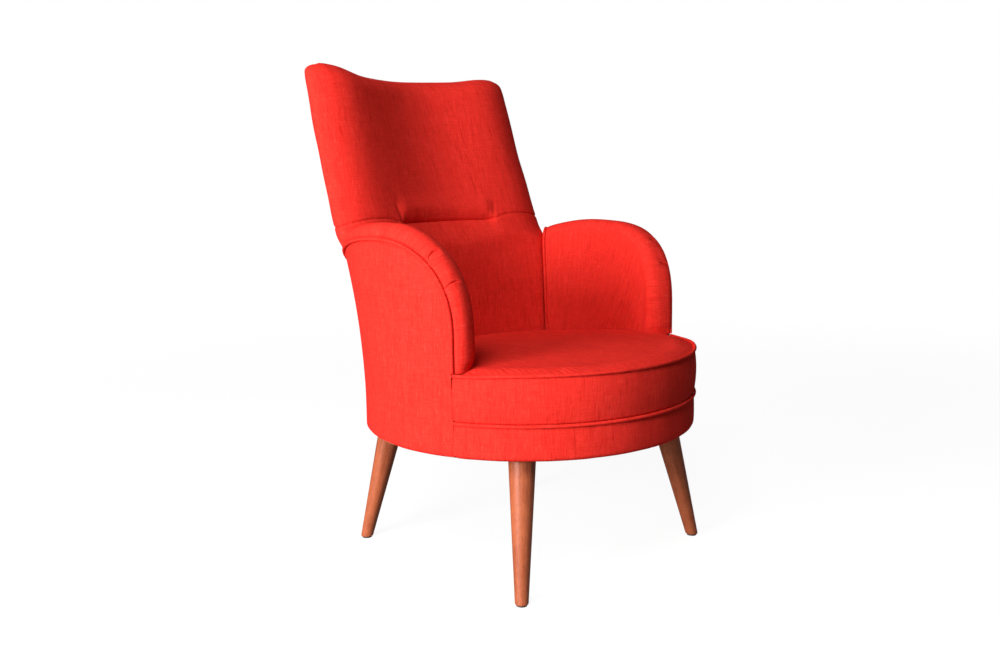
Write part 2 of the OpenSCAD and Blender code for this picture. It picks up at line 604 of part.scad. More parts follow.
// Webbing, hessian, foam and cover of the seat
web_step = webbing_w * step_share;
web_reach = ring_r - ring_w / 4;
module seat_strap(i, z) translate([-strap_half(i), i * web_step - webbing_w / 2, z])
  cube([strap_half(i) * 2, webbing_w, webbing_t]);
module seat_webbing() in_frame(jute) for (i = [-2:2]) {
  rotate([0, 0, 90]) seat_strap(i, web_z);
  seat_strap(i, cross_web_z);
}
staple_w = webbing_w / 5;
staple_t = webbing_t / 4;
function strap_half(i) = sqrt(pow(web_reach, 2) - pow(abs(i) * web_step + webbing_w / 2, 2));
module strap_staples(i, z) let (half = strap_half(i))
  for (end = [-1, 1], j = [-1, 1])
    translate([end * (half - staple_w) - staple_w / 2, i * web_step + j * webbing_w / 4 - staple_t, z])
    cube([staple_w, staple_t * 2, fit_gap]);
module webbing_staples() in_frame(steel) for (i = [-2:2]) {
  rotate([0, 0, 90]) strap_staples(i, web_z + webbing_t);
  strap_staples(i, cross_web_z + webbing_t);
}
module seat_hessian() in_frame(jute) translate([0, 0, hessian_z])
  cylinder(h = hessian_t, r = web_reach + webbing_t, $fn = 96);
seat_shares = [0.2, 0.45, 0.7, 0.88, 1];
module seat_cover() in_frame(cloth) loft(concat(
  [for (s = seat_shares) seat_ring_at(s, 0)],
  [for (i = [4:-1:0]) seat_ring_at(seat_shares[i], cover_t)]));
module seat_foam() in_frame(foam) loft(concat(
  [for (s = [0.5, 1]) [for (p = seat_outline) [p[0] * s, p[1] * s, foam_z]]],
  [[for (k = [0:len(seat_outline) - 1]) let (p = seat_outline[k],
      z = (foam_z + seat_edge_z) / 2, out = k <= 2 * ring_columns ? 1 + swell(z) / drum_r : 1)
    [p[0] * out, p[1] * out, z]]],
  [for (i = [4:-1:0]) seat_ring_at(seat_shares[i], skin_d)]));

// Black cloth under the drum, with holes for the legs
dust_r = ring_r + facing_t * 3;
module dust_cover() in_frame(cambric) difference() {
  translate([0, 0, drum_bottom_z]) cylinder(h = dust_t, r = dust_r, $fn = 96);
  for (side = [-1, 1], i = [0, 1]) rotate([0, 0, side * leg_angles[i]])
    translate([0, -leg_radii[i] - (base_z - drum_bottom_z) * tan(leg_splay), drum_bottom_z - dust_t])
    cylinder(h = dust_t * 3, r = leg_top_d / 2 + bead_out, $fn = 64);
}
module dust_cover_staples() in_frame(steel) for (i = [0:staple_count - 1])
  rotate([0, 0, 360 * (i + 0.5) / staple_count])
  translate([-staple_w / 2, -dust_r + staple_t * 4, drum_bottom_z - staple_t])
  cube([staple_w, staple_t * 2, staple_t]);

// Arms: a bent board, foam over its edge and inner face, and the covering
board_rear = joint_low_angle - joint_turn;
module arm_board(side) in_frame(board) slab(
  wall_sheet(side, arm_end_seam, -crown_start - layer_gap * 2, board_out_d,
    arm_front_angle + turn_of(crown_start, drum_r), board_rear, base_z),
  wall_sheet(side, arm_end_seam, -crown_start - layer_gap * 2, board_in_d,
    arm_front_angle + turn_of(crown_start, drum_r), board_rear, base_z));
module arm_board_left() arm_board(-1);
module arm_board_right() arm_board(1);
module arm_foam(side) in_frame(foam) slab(arm_skin(side, skin_d, foam_z), arm_core(side, foam_z));
module arm_foam_left() arm_foam(-1);
module arm_foam_right() arm_foam(1);
module arm_cover(side) in_frame(cloth) slab(arm_skin(side, 0, foam_z), arm_skin(side, cover_t, foam_z));
module arm_cover_left() arm_cover(-1);
module arm_cover_right() arm_cover(1);
module outside_arm(side) in_frame(cloth) slab(
  wall_sheet(side, whole_seam, -crown_start, 0, arm_front_angle + turn_of(layer_gap, drum_r),
    rear_seam_angle, drum_bottom_z),
  wall_sheet(side, whole_seam, -crown_start, cover_t, arm_front_angle + turn_of(layer_gap, drum_r),
    rear_seam_angle, drum_bottom_z));
module outside_arm_left() outside_arm(-1);
module outside_arm_right() outside_arm(1);
pipe_seam = arm_seam(rear_seam_angle - turn_of(pipe_r, drum_r));
module arm_piping(side) in_frame(cloth) cord(
  [for (p = pipe_seam) wall_point(side, p, cover_t - pipe_r)],
  [for (p = pipe_seam) polar(side * p[0], 1, 0)], pipe_r);
module arm_piping_left() arm_piping(-1);
module arm_piping_right() arm_piping(1);

// Piping up the joint of an arm and the back, over the arm's padding
joint_shoulder = arm_end_seam[seam_last][1] + crown_start + arm_rise;
joint_path = concat(
  [for (i = [0:8]) let (z = lerp(lean_from_z + pipe_r, joint_shoulder, i / 8), t = joint_angle(z))
    [t, z, arm_wall]],
  [for (i = [1:4]) let (c = crown_at(arm_end_seam[seam_last][1], 180 - 24 * i, 0),
      p = off_seam(arm_end_seam, seam_last, c[1]))
    [p[0] + turn_of(crown_start, drum_r - c[0]), p[1], c[0]]]);
module joint_piping(side) in_frame(cloth) cord(
  [for (p = joint_path) wall_point(side, p, p[2])],
  [for (p = joint_path) polar(side * (p[0] + 90), 1, 0)], pipe_r);
module joint_piping_left() joint_piping(-1);
module joint_piping_right() joint_piping(1);

// Wooden frame of the back
post_t = rear_seam_angle - turn_of(upright_w, drum_r) / 2;
backing_d = cover_t + curve_gap;
back_in = backing_d + backing_t + layer_gap;
upright_top = back_top_z - back_edge_r - layer_gap;
function upright_ring(z) = let (
  half = turn_of(upright_w, drum_r) / 2, r = tub_r(post_t, z),
  d = lerp(board_in_d, board_in_d * upright_deep_share,
    ease(seat_ring_top + webbing_w / 4, arm_straight_z, z)),
  x = edge_x(z), y = lean_y(z) - upright_w / 2 + curve_gap * 2,
  low = [polar(post_t - half, r - d, z), polar(post_t + half, r - d, z),
    polar(post_t + half, r - board_out_d, z), polar(post_t - half, r - board_out_d, z)],
  top = [[x + upright_w / 2, y, z], [x - upright_w / 2, y, z],
    [x - upright_w / 2, rear_y(x - upright_w / 2, z, back_in), z],
    [x + upright_w / 2, rear_y(x + upright_w / 2, z, back_in), z]])
  [for (k = [0:3]) lerp(low[k], top[k], emerged(z))];
upright_heights = concat([base_z, seat_ring_top], [for (i = [1:back_rows]) low_heights[i]],
  [for (i = [1:4]) lerp(channel_z, upright_top, i / 4)]);
module back_upright(side) in_frame(board) loft([for (z = upright_heights)
  [for (p = upright_ring(z)) [p[0] * side, p[1], p[2]]]]);
module back_upright_left() back_upright(-1);
module back_upright_right() back_upright(1);

// A rail follows the hollow of the back, behind the webbing
foam_in = back_edge_r * foam_in_share;
foam_deep = back_edge_r - foam_in;
rail_in = layer_gap + webbing_t + curve_gap;
function behind_foam(x, z, d) = [x, face_y(x, z, foam_in, foam_deep) + d, z - dip(x, z)];
function rail_end(z) = upright_ring(z)[1][0] - fit_gap;
module rail(z_low, z_high, front, rear) slab(
  [for (k = [0, 1]) [for (i = [-half_columns:half_columns])
    behind_foam(front[k] * i / half_columns, [z_low, z_high][k], rail_in)]],
  [for (k = [0, 1]) [for (i = [-half_columns:half_columns])
    let (p = behind_foam(front[k] * i / half_columns, [z_low, z_high][k], rail_in + board_t))
    [rear[k] * i / half_columns, p[1], p[2]]]]);
module straight_rail(z_low, z_high)
  rail(z_low, z_high, [rail_end(z_low), rail_end(z_high)], [rail_end(z_low), rail_end(z_high)]);
module back_top_rail() in_frame(board) straight_rail(upright_top - rail_h, upright_top);
module back_middle_rail() in_frame(board)
  straight_rail(channel_z - rail_h / 2, channel_z + rail_h / 2);
// The low rail's ends are cut to lie on the turned inner faces of the uprights
low_rail_z = lean_from_z + rail_h / 2;
low_rail_top = low_rail_z + rail_h;
low_post = upright_ring(low_heights[2]);
low_front = low_post[0][0] - fit_gap * 2;
function low_rear(z) = let (p = low_post[0], q = low_post[1],
  y = behind_foam(low_front, z, rail_in + board_t)[1])
  low_front - fit_gap - max(0, y - p[1]) * (p[0] - q[0]) / (q[1] - p[1]);
module back_low_rail() in_frame(board) rail(low_rail_z, low_rail_top,
  [low_front, low_front], [low_rear(low_rail_z), low_rear(low_rail_top)]);
function low_board_row(z, d) = let (
  end = polar(rear_seam_angle + turn_of(curve_gap, drum_r), tub_r(rear_seam_angle, z) - d, z))
  [for (i = [-half_columns:half_columns]) let (x = end[0] * i / half_columns)
    [x, rear_y(x, z, d), z]];
module back_low_board() in_frame(board) slab(
  [for (i = [0:3]) low_board_row(lerp(base_z, low_rail_top, i / 3), board_out_d)],
  [for (i = [0:3]) low_board_row(lerp(base_z, low_rail_top, i / 3), board_in_d - curve_gap)]);
module back_strap(share, heights) slab(
  [for (z = heights) [for (k = [-1:1])
    behind_foam(share * back_top_x + k * webbing_w / 2, z, layer_gap)]],
  [for (z = heights) [for (k = [-1:1])
    behind_foam(share * back_top_x + k * webbing_w / 2, z, layer_gap + webbing_t)]]);
strap_lap = rail_h / 8;
module back_webbing() in_frame(jute) for (share = strap_shares) {
  back_strap(share, concat([low_rail_z + strap_lap], [for (i = [3:back_rows - 1]) low_heights[i]],
    [channel_z - strap_lap]));
  back_strap(share, [for (i = [0:strap_rows])
    lerp(channel_z + strap_lap, upright_top - strap_lap, i / strap_rows)]);
}

// Foam and covering of the back, parted along the deep channel
module back_foam_upper() in_frame(foam) slab(
  back_rows_from(channel_z + layer_gap, skin_d, 0, foam_side_from),
  back_rows_from(channel_z + layer_gap, foam_in, foam_deep, foam_side_from));
module back_cover_upper() in_frame(cloth) slab(
  back_rows_from(channel_z + layer_gap, 0, 0, 0),
  back_rows_from(channel_z + layer_gap, cover_t, 0, 0));
function low_rows(inset, deep, from) = [for (z = low_heights) back_row(z, inset, deep, from)];
module back_foam_lower() in_frame(foam)
  slab(low_rows(skin_d, 0, foam_side_from), low_rows(foam_in, foam_deep, foam_side_from));
module back_cover_lower() in_frame(cloth) slab(low_rows(0, 0, 0), low_rows(cover_t, 0, 0));

// Thin backing board and outside cover of the back
backing_z = low_rail_top + fit_gap;
function rear_heights(low, from, high) = concat([low], [for (i = [from:back_rows]) low_heights[i]],
  [for (i = [1:rear_rows]) lerp(channel_z, high, i / rear_rows)]);
function backing_rows(inset) = [for (z = rear_heights(backing_z, 3, upright_top - rail_h / 2))
  rear_row(z, inset, board_reach_share)];
module outside_back_board() in_frame(board)
  slab(backing_rows(backing_d), backing_rows(backing_d + backing_t));
function outside_rows(inset) = concat(
  [for (z = rear_heights(drum_bottom_z, 1, back_top_z - back_edge_r)) rear_row(z, inset, 1)],
  [for (i = [1:top_rows]) let (a = 90 * i / top_rows, w = back_edge_r - inset)
    rear_row(back_top_z - back_edge_r + w * sin(a),
      min(back_edge_r - tip_r, inset + w * (1 - cos(a))), 1)]);
module outside_back_cover() in_frame(cloth) slab(outside_rows(0), outside_rows(cover_t));

leg_front_left();
leg_front_right();
leg_rear_left();
leg_rear_right();
foot_glides();
leg_bolts();
leg_nuts();
leg_blocks();
base_ring();
seat_ring();
ring_posts();
frame_screws();
drum_facing();
drum_foam();
seat_webbing();
webbing_staples();
seat_hessian();
seat_foam();
seat_cover();
seat_piping();
upper_band();
band_piping();
lower_band();
dust_cover();
dust_cover_staples();
arm_board_left();
arm_board_right();
arm_foam_left();
arm_foam_right();
arm_cover_left();
arm_cover_right();
outside_arm_left();
outside_arm_right();
arm_piping_left();
arm_piping_right();
back_upright_left();
back_upright_right();
back_top_rail();
back_middle_rail();
back_low_rail();
back_low_board();
back_webbing();
back_foam_upper();
back_foam_lower();
back_cover_upper();
back_cover_lower();
joint_piping_left();
joint_piping_right();
outside_back_board();
outside_back_cover();
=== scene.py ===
import math

import bpy
import numpy as np
from mathutils import Matrix, Vector


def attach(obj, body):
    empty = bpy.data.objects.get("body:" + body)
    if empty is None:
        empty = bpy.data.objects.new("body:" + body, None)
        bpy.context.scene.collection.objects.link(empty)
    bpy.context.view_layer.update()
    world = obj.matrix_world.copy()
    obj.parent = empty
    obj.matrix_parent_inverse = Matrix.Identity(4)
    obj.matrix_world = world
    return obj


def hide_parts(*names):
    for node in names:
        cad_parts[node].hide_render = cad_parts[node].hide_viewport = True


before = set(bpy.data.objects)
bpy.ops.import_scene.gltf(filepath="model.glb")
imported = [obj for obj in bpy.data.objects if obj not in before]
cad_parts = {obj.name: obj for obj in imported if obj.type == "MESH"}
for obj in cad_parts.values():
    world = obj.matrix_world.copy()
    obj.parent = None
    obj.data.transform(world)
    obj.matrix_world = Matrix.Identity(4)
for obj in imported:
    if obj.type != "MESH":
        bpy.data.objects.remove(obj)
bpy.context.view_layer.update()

# Viewpoint. The camera stands before the chair, to the sitter's right, a little above the arms. It
# looks slightly down and leans by less than a degree. Its place is given from the drum's axis.
drum_y = -0.053295
eye = (-1.41705, drum_y - 1.43251, 0.747146)
heading, tilt, lean = math.radians(-43.0254), math.radians(8.6956), math.radians(-0.8384)
film_width, lens_share = 36, 0.98918
camera = bpy.data.objects.new("viewpoint", bpy.data.cameras.new("viewpoint"))
bpy.context.scene.collection.objects.link(camera)
camera.data.sensor_width = film_width
camera.data.lens = film_width * lens_share
upright = Matrix.Rotation(heading, 4, "Z") @ Matrix.Rotation(math.pi / 2 - tilt, 4, "X")
camera.matrix_world = Matrix.Translation(eye) @ upright @ Matrix.Rotation(lean, 4, "Z")
bpy.context.scene.camera = camera
bpy.context.scene.view_settings.view_transform = "Standard"


# Studio. A pale floor without an edge, a broad soft lamp beside the chair on the camera's left, a
# weaker one high before it on the same side, and a little light from all round.
class Wire:
    """One output socket of a node tree. Sums, differences and products of it with numbers or other
    wires each add a Math node."""

    def __init__(self, tree, socket=None):
        self.tree, self.socket = tree, socket

    def node(self, kind, settings=None, sockets=None, out=0):
        """Adds a node of this kind, sets its settings, then its sockets, and gives one output."""
        made = self.tree.nodes.new(kind)
        for name, value in (settings or {}).items():
            if name == "stops":
                while len(made.color_ramp.elements) < len(value):
                    made.color_ramp.elements.new(0.5)
                for stop, (place, colour) in zip(made.color_ramp.elements, value):
                    stop.position, stop.color = place, colour
            else:
                setattr(made, name, value)
        for name, value in (sockets or {}).items():
            if isinstance(value, Wire):
                self.tree.links.new(value.socket, made.inputs[name])
            else:
                made.inputs[name].default_value = value
        return Wire(self.tree, made.outputs[out])

    def output(self, which):
        """Another output of the node that this wire leaves."""
        return Wire(self.tree, self.socket.node.outputs[which])

    def maths(self, operation, first, second=0.0):
        """One Math node on one or two numbers or wires."""
        return self.node("ShaderNodeMath", {"operation": operation}, {0: first, 1: second})

    def __add__(self, other):
        return self.maths("ADD", self, other)

    def __sub__(self, other):
        return self.maths("SUBTRACT", self, other)

    def __rsub__(self, other):
        return self.maths("SUBTRACT", other, self)

    def __mul__(self, other):
        return self.maths("MULTIPLY", self, other)

    __radd__ = __add__
    __rmul__ = __mul__

    def place(self):
        """Object coordinates, in metres from the frame's origin."""
        return self.node("ShaderNodeTexCoord", out="Object")

    def scaled(self, x, y, z):
        """This place with its three coordinates scaled."""
        return self.node("ShaderNodeMapping", None, {0: self, 3: (x, y, z)})

    def noise(self, scale, detail, **more):
        """Noise at this place; more holds other sockets of the node."""
        return self.node("ShaderNodeTexNoise", None, {0: self, "Scale": scale, "Detail": detail, **more})

    def ramp(self, *stops):
        """A smooth grey ramp through (place, level) stops."""
        shades = [(place, (level, level, level, 1)) for place, level in stops]
        return self.node("ShaderNodeValToRGB", {"stops": shades}, {"Fac": self})

    def between(self, dark, light):
        """Mixes two colours, or two wires of colour, by this wire."""
        return self.node("ShaderNodeMix", {"data_type": "RGBA"}, {0: self, 6: dark, 7: light}, out=2)

    def bump(self, strength, distance):
        """A normal bumped by this height."""
        sockets = {"Strength": strength, "Distance": distance, "Height": self}
        return self.node("ShaderNodeBump", None, sockets)


def finish(name, build, surface):
    """A material: build(wire) adds the nodes that vary over the surface, and surface sets the rest."""
    made = bpy.data.materials.new(name)
    made.use_nodes = True
    shader = made.node_tree.nodes["Principled BSDF"]
    for socket, value in surface.items():
        shader.inputs[socket].default_value = value
    for socket, wire in build(Wire(made.node_tree)).items():
        made.node_tree.links.new(wire.socket, shader.inputs[socket])
    return made


def lamp(name, place, aim, size, power):
    """A square lamp at a place, turned towards an aim."""
    made = bpy.data.objects.new(name, bpy.data.lights.new(name, "AREA"))
    bpy.context.scene.collection.objects.link(made)
    made.data.size, made.data.energy = size, power
    made.location = place
    made.rotation_euler = (Vector(aim) - Vector(place)).to_track_quat("-Z", "Y").to_euler()


seat_middle, lamp_size = (0, 0, 0.45), 1.5
lamp("side_lamp", (-3.93, -0.18, 1.18), seat_middle, lamp_size, 236)
lamp("high_lamp", (-2.45, -1.41, 3.28), seat_middle, lamp_size, 104)
world = bpy.data.worlds.new("studio")
bpy.context.scene.world = world
world.use_nodes = True
sky = world.node_tree.nodes["Background"]
sky.inputs["Color"].default_value = (1, 1, 1, 1)
ray = Wire(world.node_tree).node("ShaderNodeLightPath")
mirrored_or_through = ray.maths("MAXIMUM", ray.output("Is Glossy Ray"), ray.output("Is Transmission Ray"))
shown = ray.maths("MAXIMUM", ray.output("Is Camera Ray"), mirrored_or_through)
ambient = 0.02
strength = shown * (1 - ambient) + ambient
world.node_tree.links.new(strength.socket, sky.inputs["Strength"])

floor_mesh = bpy.data.meshes.new("studio_floor")
floor_reach = 30
floor_mesh.from_pydata([(-floor_reach, -floor_reach, 0), (floor_reach, -floor_reach, 0),
                        (floor_reach, floor_reach, 0), (-floor_reach, floor_reach, 0)], [], [(0, 1, 2, 3)])
studio_floor = bpy.data.objects.new("studio_floor", floor_mesh)
bpy.context.scene.collection.objects.link(studio_floor)
paper = bpy.data.materials.new("white_paper")
paper.use_nodes = True
wire = Wire(paper.node_tree)
distance = wire.node("ShaderNodeVectorMath", {"operation": "LENGTH"}, {0: wire.place()}, out=1)
whiter = wire.node("ShaderNodeMapRange", {"interpolation_type": "SMOOTHSTEP"},
                   {"Value": distance, "From Min": 1.5, "From Max": 5.0, "To Min": 1.56, "To Max": 1.68})
glow = wire.node("ShaderNodeEmission", None, {"Color": (1, 1, 1, 1), "Strength": whiter})
matt = wire.node("ShaderNodeBsdfDiffuse", None, {"Color": (0.3, 0.3, 0.3, 1)})
to_camera = wire.node("ShaderNodeLightPath")
paper_mix = wire.node("ShaderNodeMixShader", None, {0: to_camera * 0.6, 1: matt, 2: glow})
paper.node_tree.links.new(paper_mix.socket, paper.node_tree.nodes["Material Output"].inputs["Surface"])
floor_mesh.materials.append(paper)


# Legs. Four tapered legs turned from hardwood, oiled to an orange brown, each with a low bead at
# its top and a broken edge at the foot. The grain runs along the leg.
leg_top_r, leg_foot_r, splay = 0.026, 0.0124, math.radians(14.1)
leg_low_z, leg_high_z = 0.003, 0.2626
bead_low_z, bead_high_z, bead_r = 0.2530, 0.2575, 0.0278
foot_edge, foot_edge_high, bead_gap, taper_end, mean_leg_r = 0.0016, 0.0017, 0.0004, 0.003, 0.02
leg_places = {"leg_front_left": (-47.5, 0.278), "leg_front_right": (47.5, 0.278),
              "leg_rear_left": (-136, 0.285), "leg_rear_right": (136, 0.285)}


def as_points(*parts):
    """Points with these coordinates, which are numbers or arrays of fitting shapes."""
    return np.stack(np.broadcast_arrays(*parts), -1)


def skin(name, rings, places, material, strip=False):
    """Closed skin through rings of points (n, m, 3); places (n, m + 1, 2) lie on the cloth. The two end
    rings close on their mean, or across as a strip. Six times the volume is the sum of p0 . (p1 x p2)
    over the triangles; its sign turns the faces outwards."""
    n, m = rings.shape[:2]
    k = np.arange(m)
    row, col = (g.ravel() for g in np.meshgrid(np.arange(n - 1), k, indexing="ij"))
    after = (col + 1) % m
    faces = [np.stack([row * m + col, (row + 1) * m + col, (row + 1) * m + after, row * m + after], 1)]
    corners = [np.stack([places[row, col], places[row + 1, col],
                         places[row + 1, col + 1], places[row, col + 1]], 1)]
    points = rings.reshape(-1, 3)
    half = k[:m // 2 - 1]
    if not strip:
        points = np.concatenate([points, rings[[0, -1]].mean(1)])
    for end, turn in ((0, 1), (n - 1, -1)):
        if strip:
            cap = np.stack([half, half + 1, m - 2 - half, m - 1 - half], 1)
            place = places[end][cap]
            cap = cap + end * m
        else:
            cap = np.stack([np.full(m, n * m + (end > 0)), end * m + k, end * m + (k + 1) % m], 1)
            middle = places[end, :-1] * 0 + places[end].mean(0)
            place = np.stack([middle, places[end, :-1], places[end, 1:]], 1)
        faces.append(cap[:, ::turn])
        corners.append(place[:, ::turn])
    fans = [f[:, [0, i, i + 1]] for f in faces for i in range(1, f.shape[1] - 1)]
    volume = sum(np.einsum("ij,ij->", points[f[:, 0]], np.cross(points[f[:, 1]], points[f[:, 2]]))
                 for f in fans)
    flip = -1 if volume < 0 else 1
    mesh = bpy.data.meshes.new(name)
    mesh.from_pydata(points.tolist(), [], [face for f in faces for face in f[:, ::flip].tolist()])
    layer = mesh.uv_layers.new(name="weave")
    layer.data.foreach_set("uv", np.concatenate([c[:, ::flip].reshape(-1, 2) for c in corners]).ravel())
    mesh.polygons.foreach_set("use_smooth", np.ones(len(mesh.polygons), bool))
    mesh.set_sharp_from_angle(angle=math.radians(60))
    mesh.materials.append(material)
    made = bpy.data.objects.new(name, mesh)
    bpy.context.scene.collection.objects.link(made)
    return made


def oiled_wood(wire):
    """Long fibres from noise drawn out along the leg, broad growth bands, short dark pores."""
    place = wire.node("ShaderNodeAttribute", {"attribute_name": "grain"}, out="Vector")
    bands = place.scaled(1, 1, 0.06).noise(130, 4, Roughness=0.55, Distortion=0.6)
    fibres = place.scaled(1, 1, 0.035).noise(1100, 3, Roughness=0.6)
    pores = place.scaled(1, 1, 0.05).noise(1900, 1).ramp((0.58, 0), (0.68, 1))
    blotch = place.noise(22, 2)
    base = bands.ramp((0.33, 0), (0.66, 1)).between((0.20, 0.034, 0.010, 1), (0.41, 0.092, 0.032, 1))
    tone = (fibres * 0.5 + blotch * 0.35).ramp((0.30, 0), (0.56, 1))
    base = tone.between(base, (0.47, 0.120, 0.046, 1))
    colour = (pores * 0.55).between(base, (0.10, 0.017, 0.006, 1))
    normal = (fibres * 0.6 - pores * 0.7).bump(0.25, 0.0004)
    return {"Base Color": colour, "Roughness": fibres * 0.2 + 0.36, "Normal": normal}


leg_wood = finish("oiled_leg_wood", oiled_wood,
                  {"Specular IOR Level": 0.3, "Coat Weight": 0.06, "Coat Roughness": 0.25})

# Radii down a leg: the flat top, the bead, the taper and the broken edge of the foot
bead_rows = bead_high_z - (bead_high_z - bead_low_z) * (1 - np.cos(np.linspace(0, np.pi, 11))) / 2
taper_rows = np.linspace(bead_low_z - bead_gap, leg_low_z + taper_end, 70)
edge_rows = leg_low_z + foot_edge * (1 - np.sin(np.linspace(0.2, np.pi / 2, 5)))
heights = np.concatenate([np.linspace(leg_high_z, bead_high_z, 3)[:-1], bead_rows, taper_rows, edge_rows])
share = (heights - leg_low_z) / (leg_high_z - leg_low_z)
taper = leg_foot_r + (leg_top_r - leg_foot_r) * share
in_bead = (heights <= bead_high_z) & (heights >= bead_low_z)
from_middle = (heights - (bead_low_z + bead_high_z) / 2) / ((bead_high_z - bead_low_z) / 2)
bulge = np.sqrt(np.clip(1 - from_middle ** 2, 0, 1))
radius = np.where(in_bead, taper + (bead_r - taper) * bulge, taper)
edge_round = np.sqrt(np.clip(1 - (1 - (heights - leg_low_z) / foot_edge_high) ** 2, 0, 1))
radius = np.where(heights < leg_low_z + foot_edge_high, taper - foot_edge + foot_edge * edge_round, radius)
lean_out = (leg_high_z - heights) * math.tan(splay)
turn = np.linspace(0, 2 * np.pi, 72, endpoint=False)
for leg_name, (angle, reach) in leg_places.items():
    a = math.radians(angle)
    out, side = np.array([math.sin(a), -math.cos(a), 0]), np.array([math.cos(a), math.sin(a), 0])
    middle = (reach + lean_out)[:, None] * out + as_points(0, drum_y, heights)
    round_it = np.cos(turn)[:, None] * out / math.cos(splay) + np.sin(turn)[:, None] * side
    rings = middle[:, None] + radius[:, None, None] * round_it
    uv = as_points(np.linspace(0, 2 * np.pi, 73) * mean_leg_r, heights[:, None])
    leg = skin("turned_" + leg_name, rings, uv, leg_wood)
    # The wood's own coordinates, upright: each point's place about the leg's middle line, and its height
    own = as_points(radius[:, None] * np.cos(turn) + reach, radius[:, None] * np.sin(turn) + a,
                    heights[:, None])
    ends = [[reach, a, heights[0]], [reach, a, heights[-1]]]
    grain = leg.data.attributes.new("grain", "FLOAT_VECTOR", "POINT")
    grain.data.foreach_set("vector", np.concatenate([own.reshape(-1, 3), ends]).astype(np.float32).ravel())
    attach(leg, "root")
    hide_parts(leg_name)


# Fittings of the legs and the drum: dark nylon glides under the feet, plated steel bolts, nuts,
# screws and staples. They keep their turned and cut shapes.
def plated(wire):
    """Fine brushed streaks over zinc, from noise drawn out along one axis."""
    place = wire.place()
    tone = place.noise(180, 3).ramp((0.3, 0), (0.7, 1))
    return {"Base Color": tone.between((0.50, 0.51, 0.52, 1), (0.64, 0.64, 0.62, 1)),
            "Roughness": place.scaled(1, 1, 0.05).noise(2400, 2) * 0.25 + 0.22}


def moulded(wire):
    """Fine grain of moulded nylon, with a dusty worn underside."""
    place = wire.place()
    dust = place.noise(160, 4).ramp((0.4, 0), (0.7, 1))
    return {"Base Color": dust.between((0.045, 0.04, 0.036, 1), (0.10, 0.09, 0.08, 1)),
            "Roughness": dust * 0.2 + 0.5, "Normal": place.noise(1500, 3).bump(0.3, 0.0002)}


steel = finish("plated_steel", plated, {"Metallic": 1.0})
nylon = finish("dark_nylon", moulded, {"Specular IOR Level": 0.4})
node_finish = {name: steel for name in
               ("leg_bolts", "leg_nuts", "frame_screws", "webbing_staples", "dust_cover_staples")}
node_finish["foot_glides"] = nylon


# Inner frame. Rings, blocks, posts and rails sawn from birch board, bent boards in the arms,
# and a thin backing board. They keep their shapes.
def raw_board(wire):
    """Pale sheets of veneer seen on edge, thin along Z, under long soft grain."""
    place = wire.place()
    grain = place.scaled(1, 0.08, 1).noise(240, 4, Distortion=0.4)
    sheets = wire.node("ShaderNodeTexWave", {"bands_direction": "Z"},
                       {"Vector": place, "Scale": 110, "Distortion": 0.6, "Detail": 1})
    tone = grain.ramp((0.3, 0), (0.7, 1)).between((0.52, 0.35, 0.18, 1), (0.68, 0.50, 0.29, 1))
    colour = (sheets.ramp((0.35, 0), (0.6, 1)) * 0.3).between(tone, (0.34, 0.20, 0.09, 1))
    return {"Base Color": colour, "Roughness": grain * 0.2 + 0.55, "Normal": grain.bump(0.25, 0.0004)}


birch = finish("raw_birch_board", raw_board, {"Specular IOR Level": 0.35})
for name in ("leg_blocks", "base_ring", "seat_ring", "ring_posts", "drum_facing", "arm_board_left",
             "arm_board_right", "back_upright_left", "back_upright_right", "back_top_rail",
             "back_middle_rail", "back_low_rail", "back_low_board", "outside_back_board"):
    node_finish[name] = birch


# Webbing and hessian. Jute straps cross under the seat and run up the back, stapled to the frame,
# with hessian over the seat's straps. They keep their shapes.
def plain_weave(pitch, dark, light, depth):
    """Builder of a flat cloth in the XY plane: sin(x) * sin(y) at the yarns' pitch, with uneven yarns."""
    def build(wire):
        """The weave's colour and bump; z counts half, so that an upright strap shows its yarns too."""
        place = wire.place()
        x = wire.node("ShaderNodeSeparateXYZ", None, {0: place})
        y, z = x.output("Y"), x.output("Z")
        step = 2 * math.pi / pitch
        over = wire.maths("SINE", (x + z * 0.5) * step) * wire.maths("SINE", (y + z * 0.5) * step)
        level = over * 0.35 + place.noise(420, 3)
        colour = level.ramp((0.25, 0), (0.85, 1)).between(dark, light)
        return {"Base Color": colour, "Normal": level.bump(0.6, depth)}
    return build


jute = finish("jute_webbing", plain_weave(0.003, (0.20, 0.14, 0.07, 1), (0.46, 0.35, 0.19, 1), 0.0006),
              {"Roughness": 0.95})
for name in ("seat_webbing", "seat_hessian", "back_webbing"):
    node_finish[name] = jute
for name, material in node_finish.items():
    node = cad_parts[name]
    node.data.materials.clear()
    node.data.materials.append(material)


# Front of the drum. Two bands of the coral cloth are sewn to a piping between them, over a thin
# layer of foam. The upper band swells between its seams, the lower one turns under the drum.
drum_r, pipe_r, cloth_t = 0.336, 0.00325, 0.002
drum_low_z, band_seam_z, seat_edge_z, turn_r, hem_lift = 0.259, 0.325, 0.415, 0.009, 0.0013
turn_z = drum_low_z + hem_lift
hem_z = turn_z + turn_r
front_seam_angle, plain_seam_gap = 68.3, 0.0004
band_half = front_seam_angle - math.degrees(plain_seam_gap / drum_r)
band_end = band_half + 0.11
pipe_ring_r = drum_r - cloth_t + pipe_r
upper_swell, lower_swell, band_gap, seam_width = 0.0044, 0.0012, 0.0024, 0.005
yarn_pitch = 0.00085


def polar(angle, radius, height):
    """Points at an angle in degrees from straight ahead, a radius from the drum's axis and a height."""
    a = np.radians(angle)
    return as_points(radius * np.sin(a), drum_y - radius * np.cos(a), height)


def ease(low, high, x):
    """0 below low, 1 above high, and 3 f^2 - 2 f^3 between."""
    f = np.clip((x - low) / (high - low), 0, 1)
    return f * f * (3 - 2 * f)


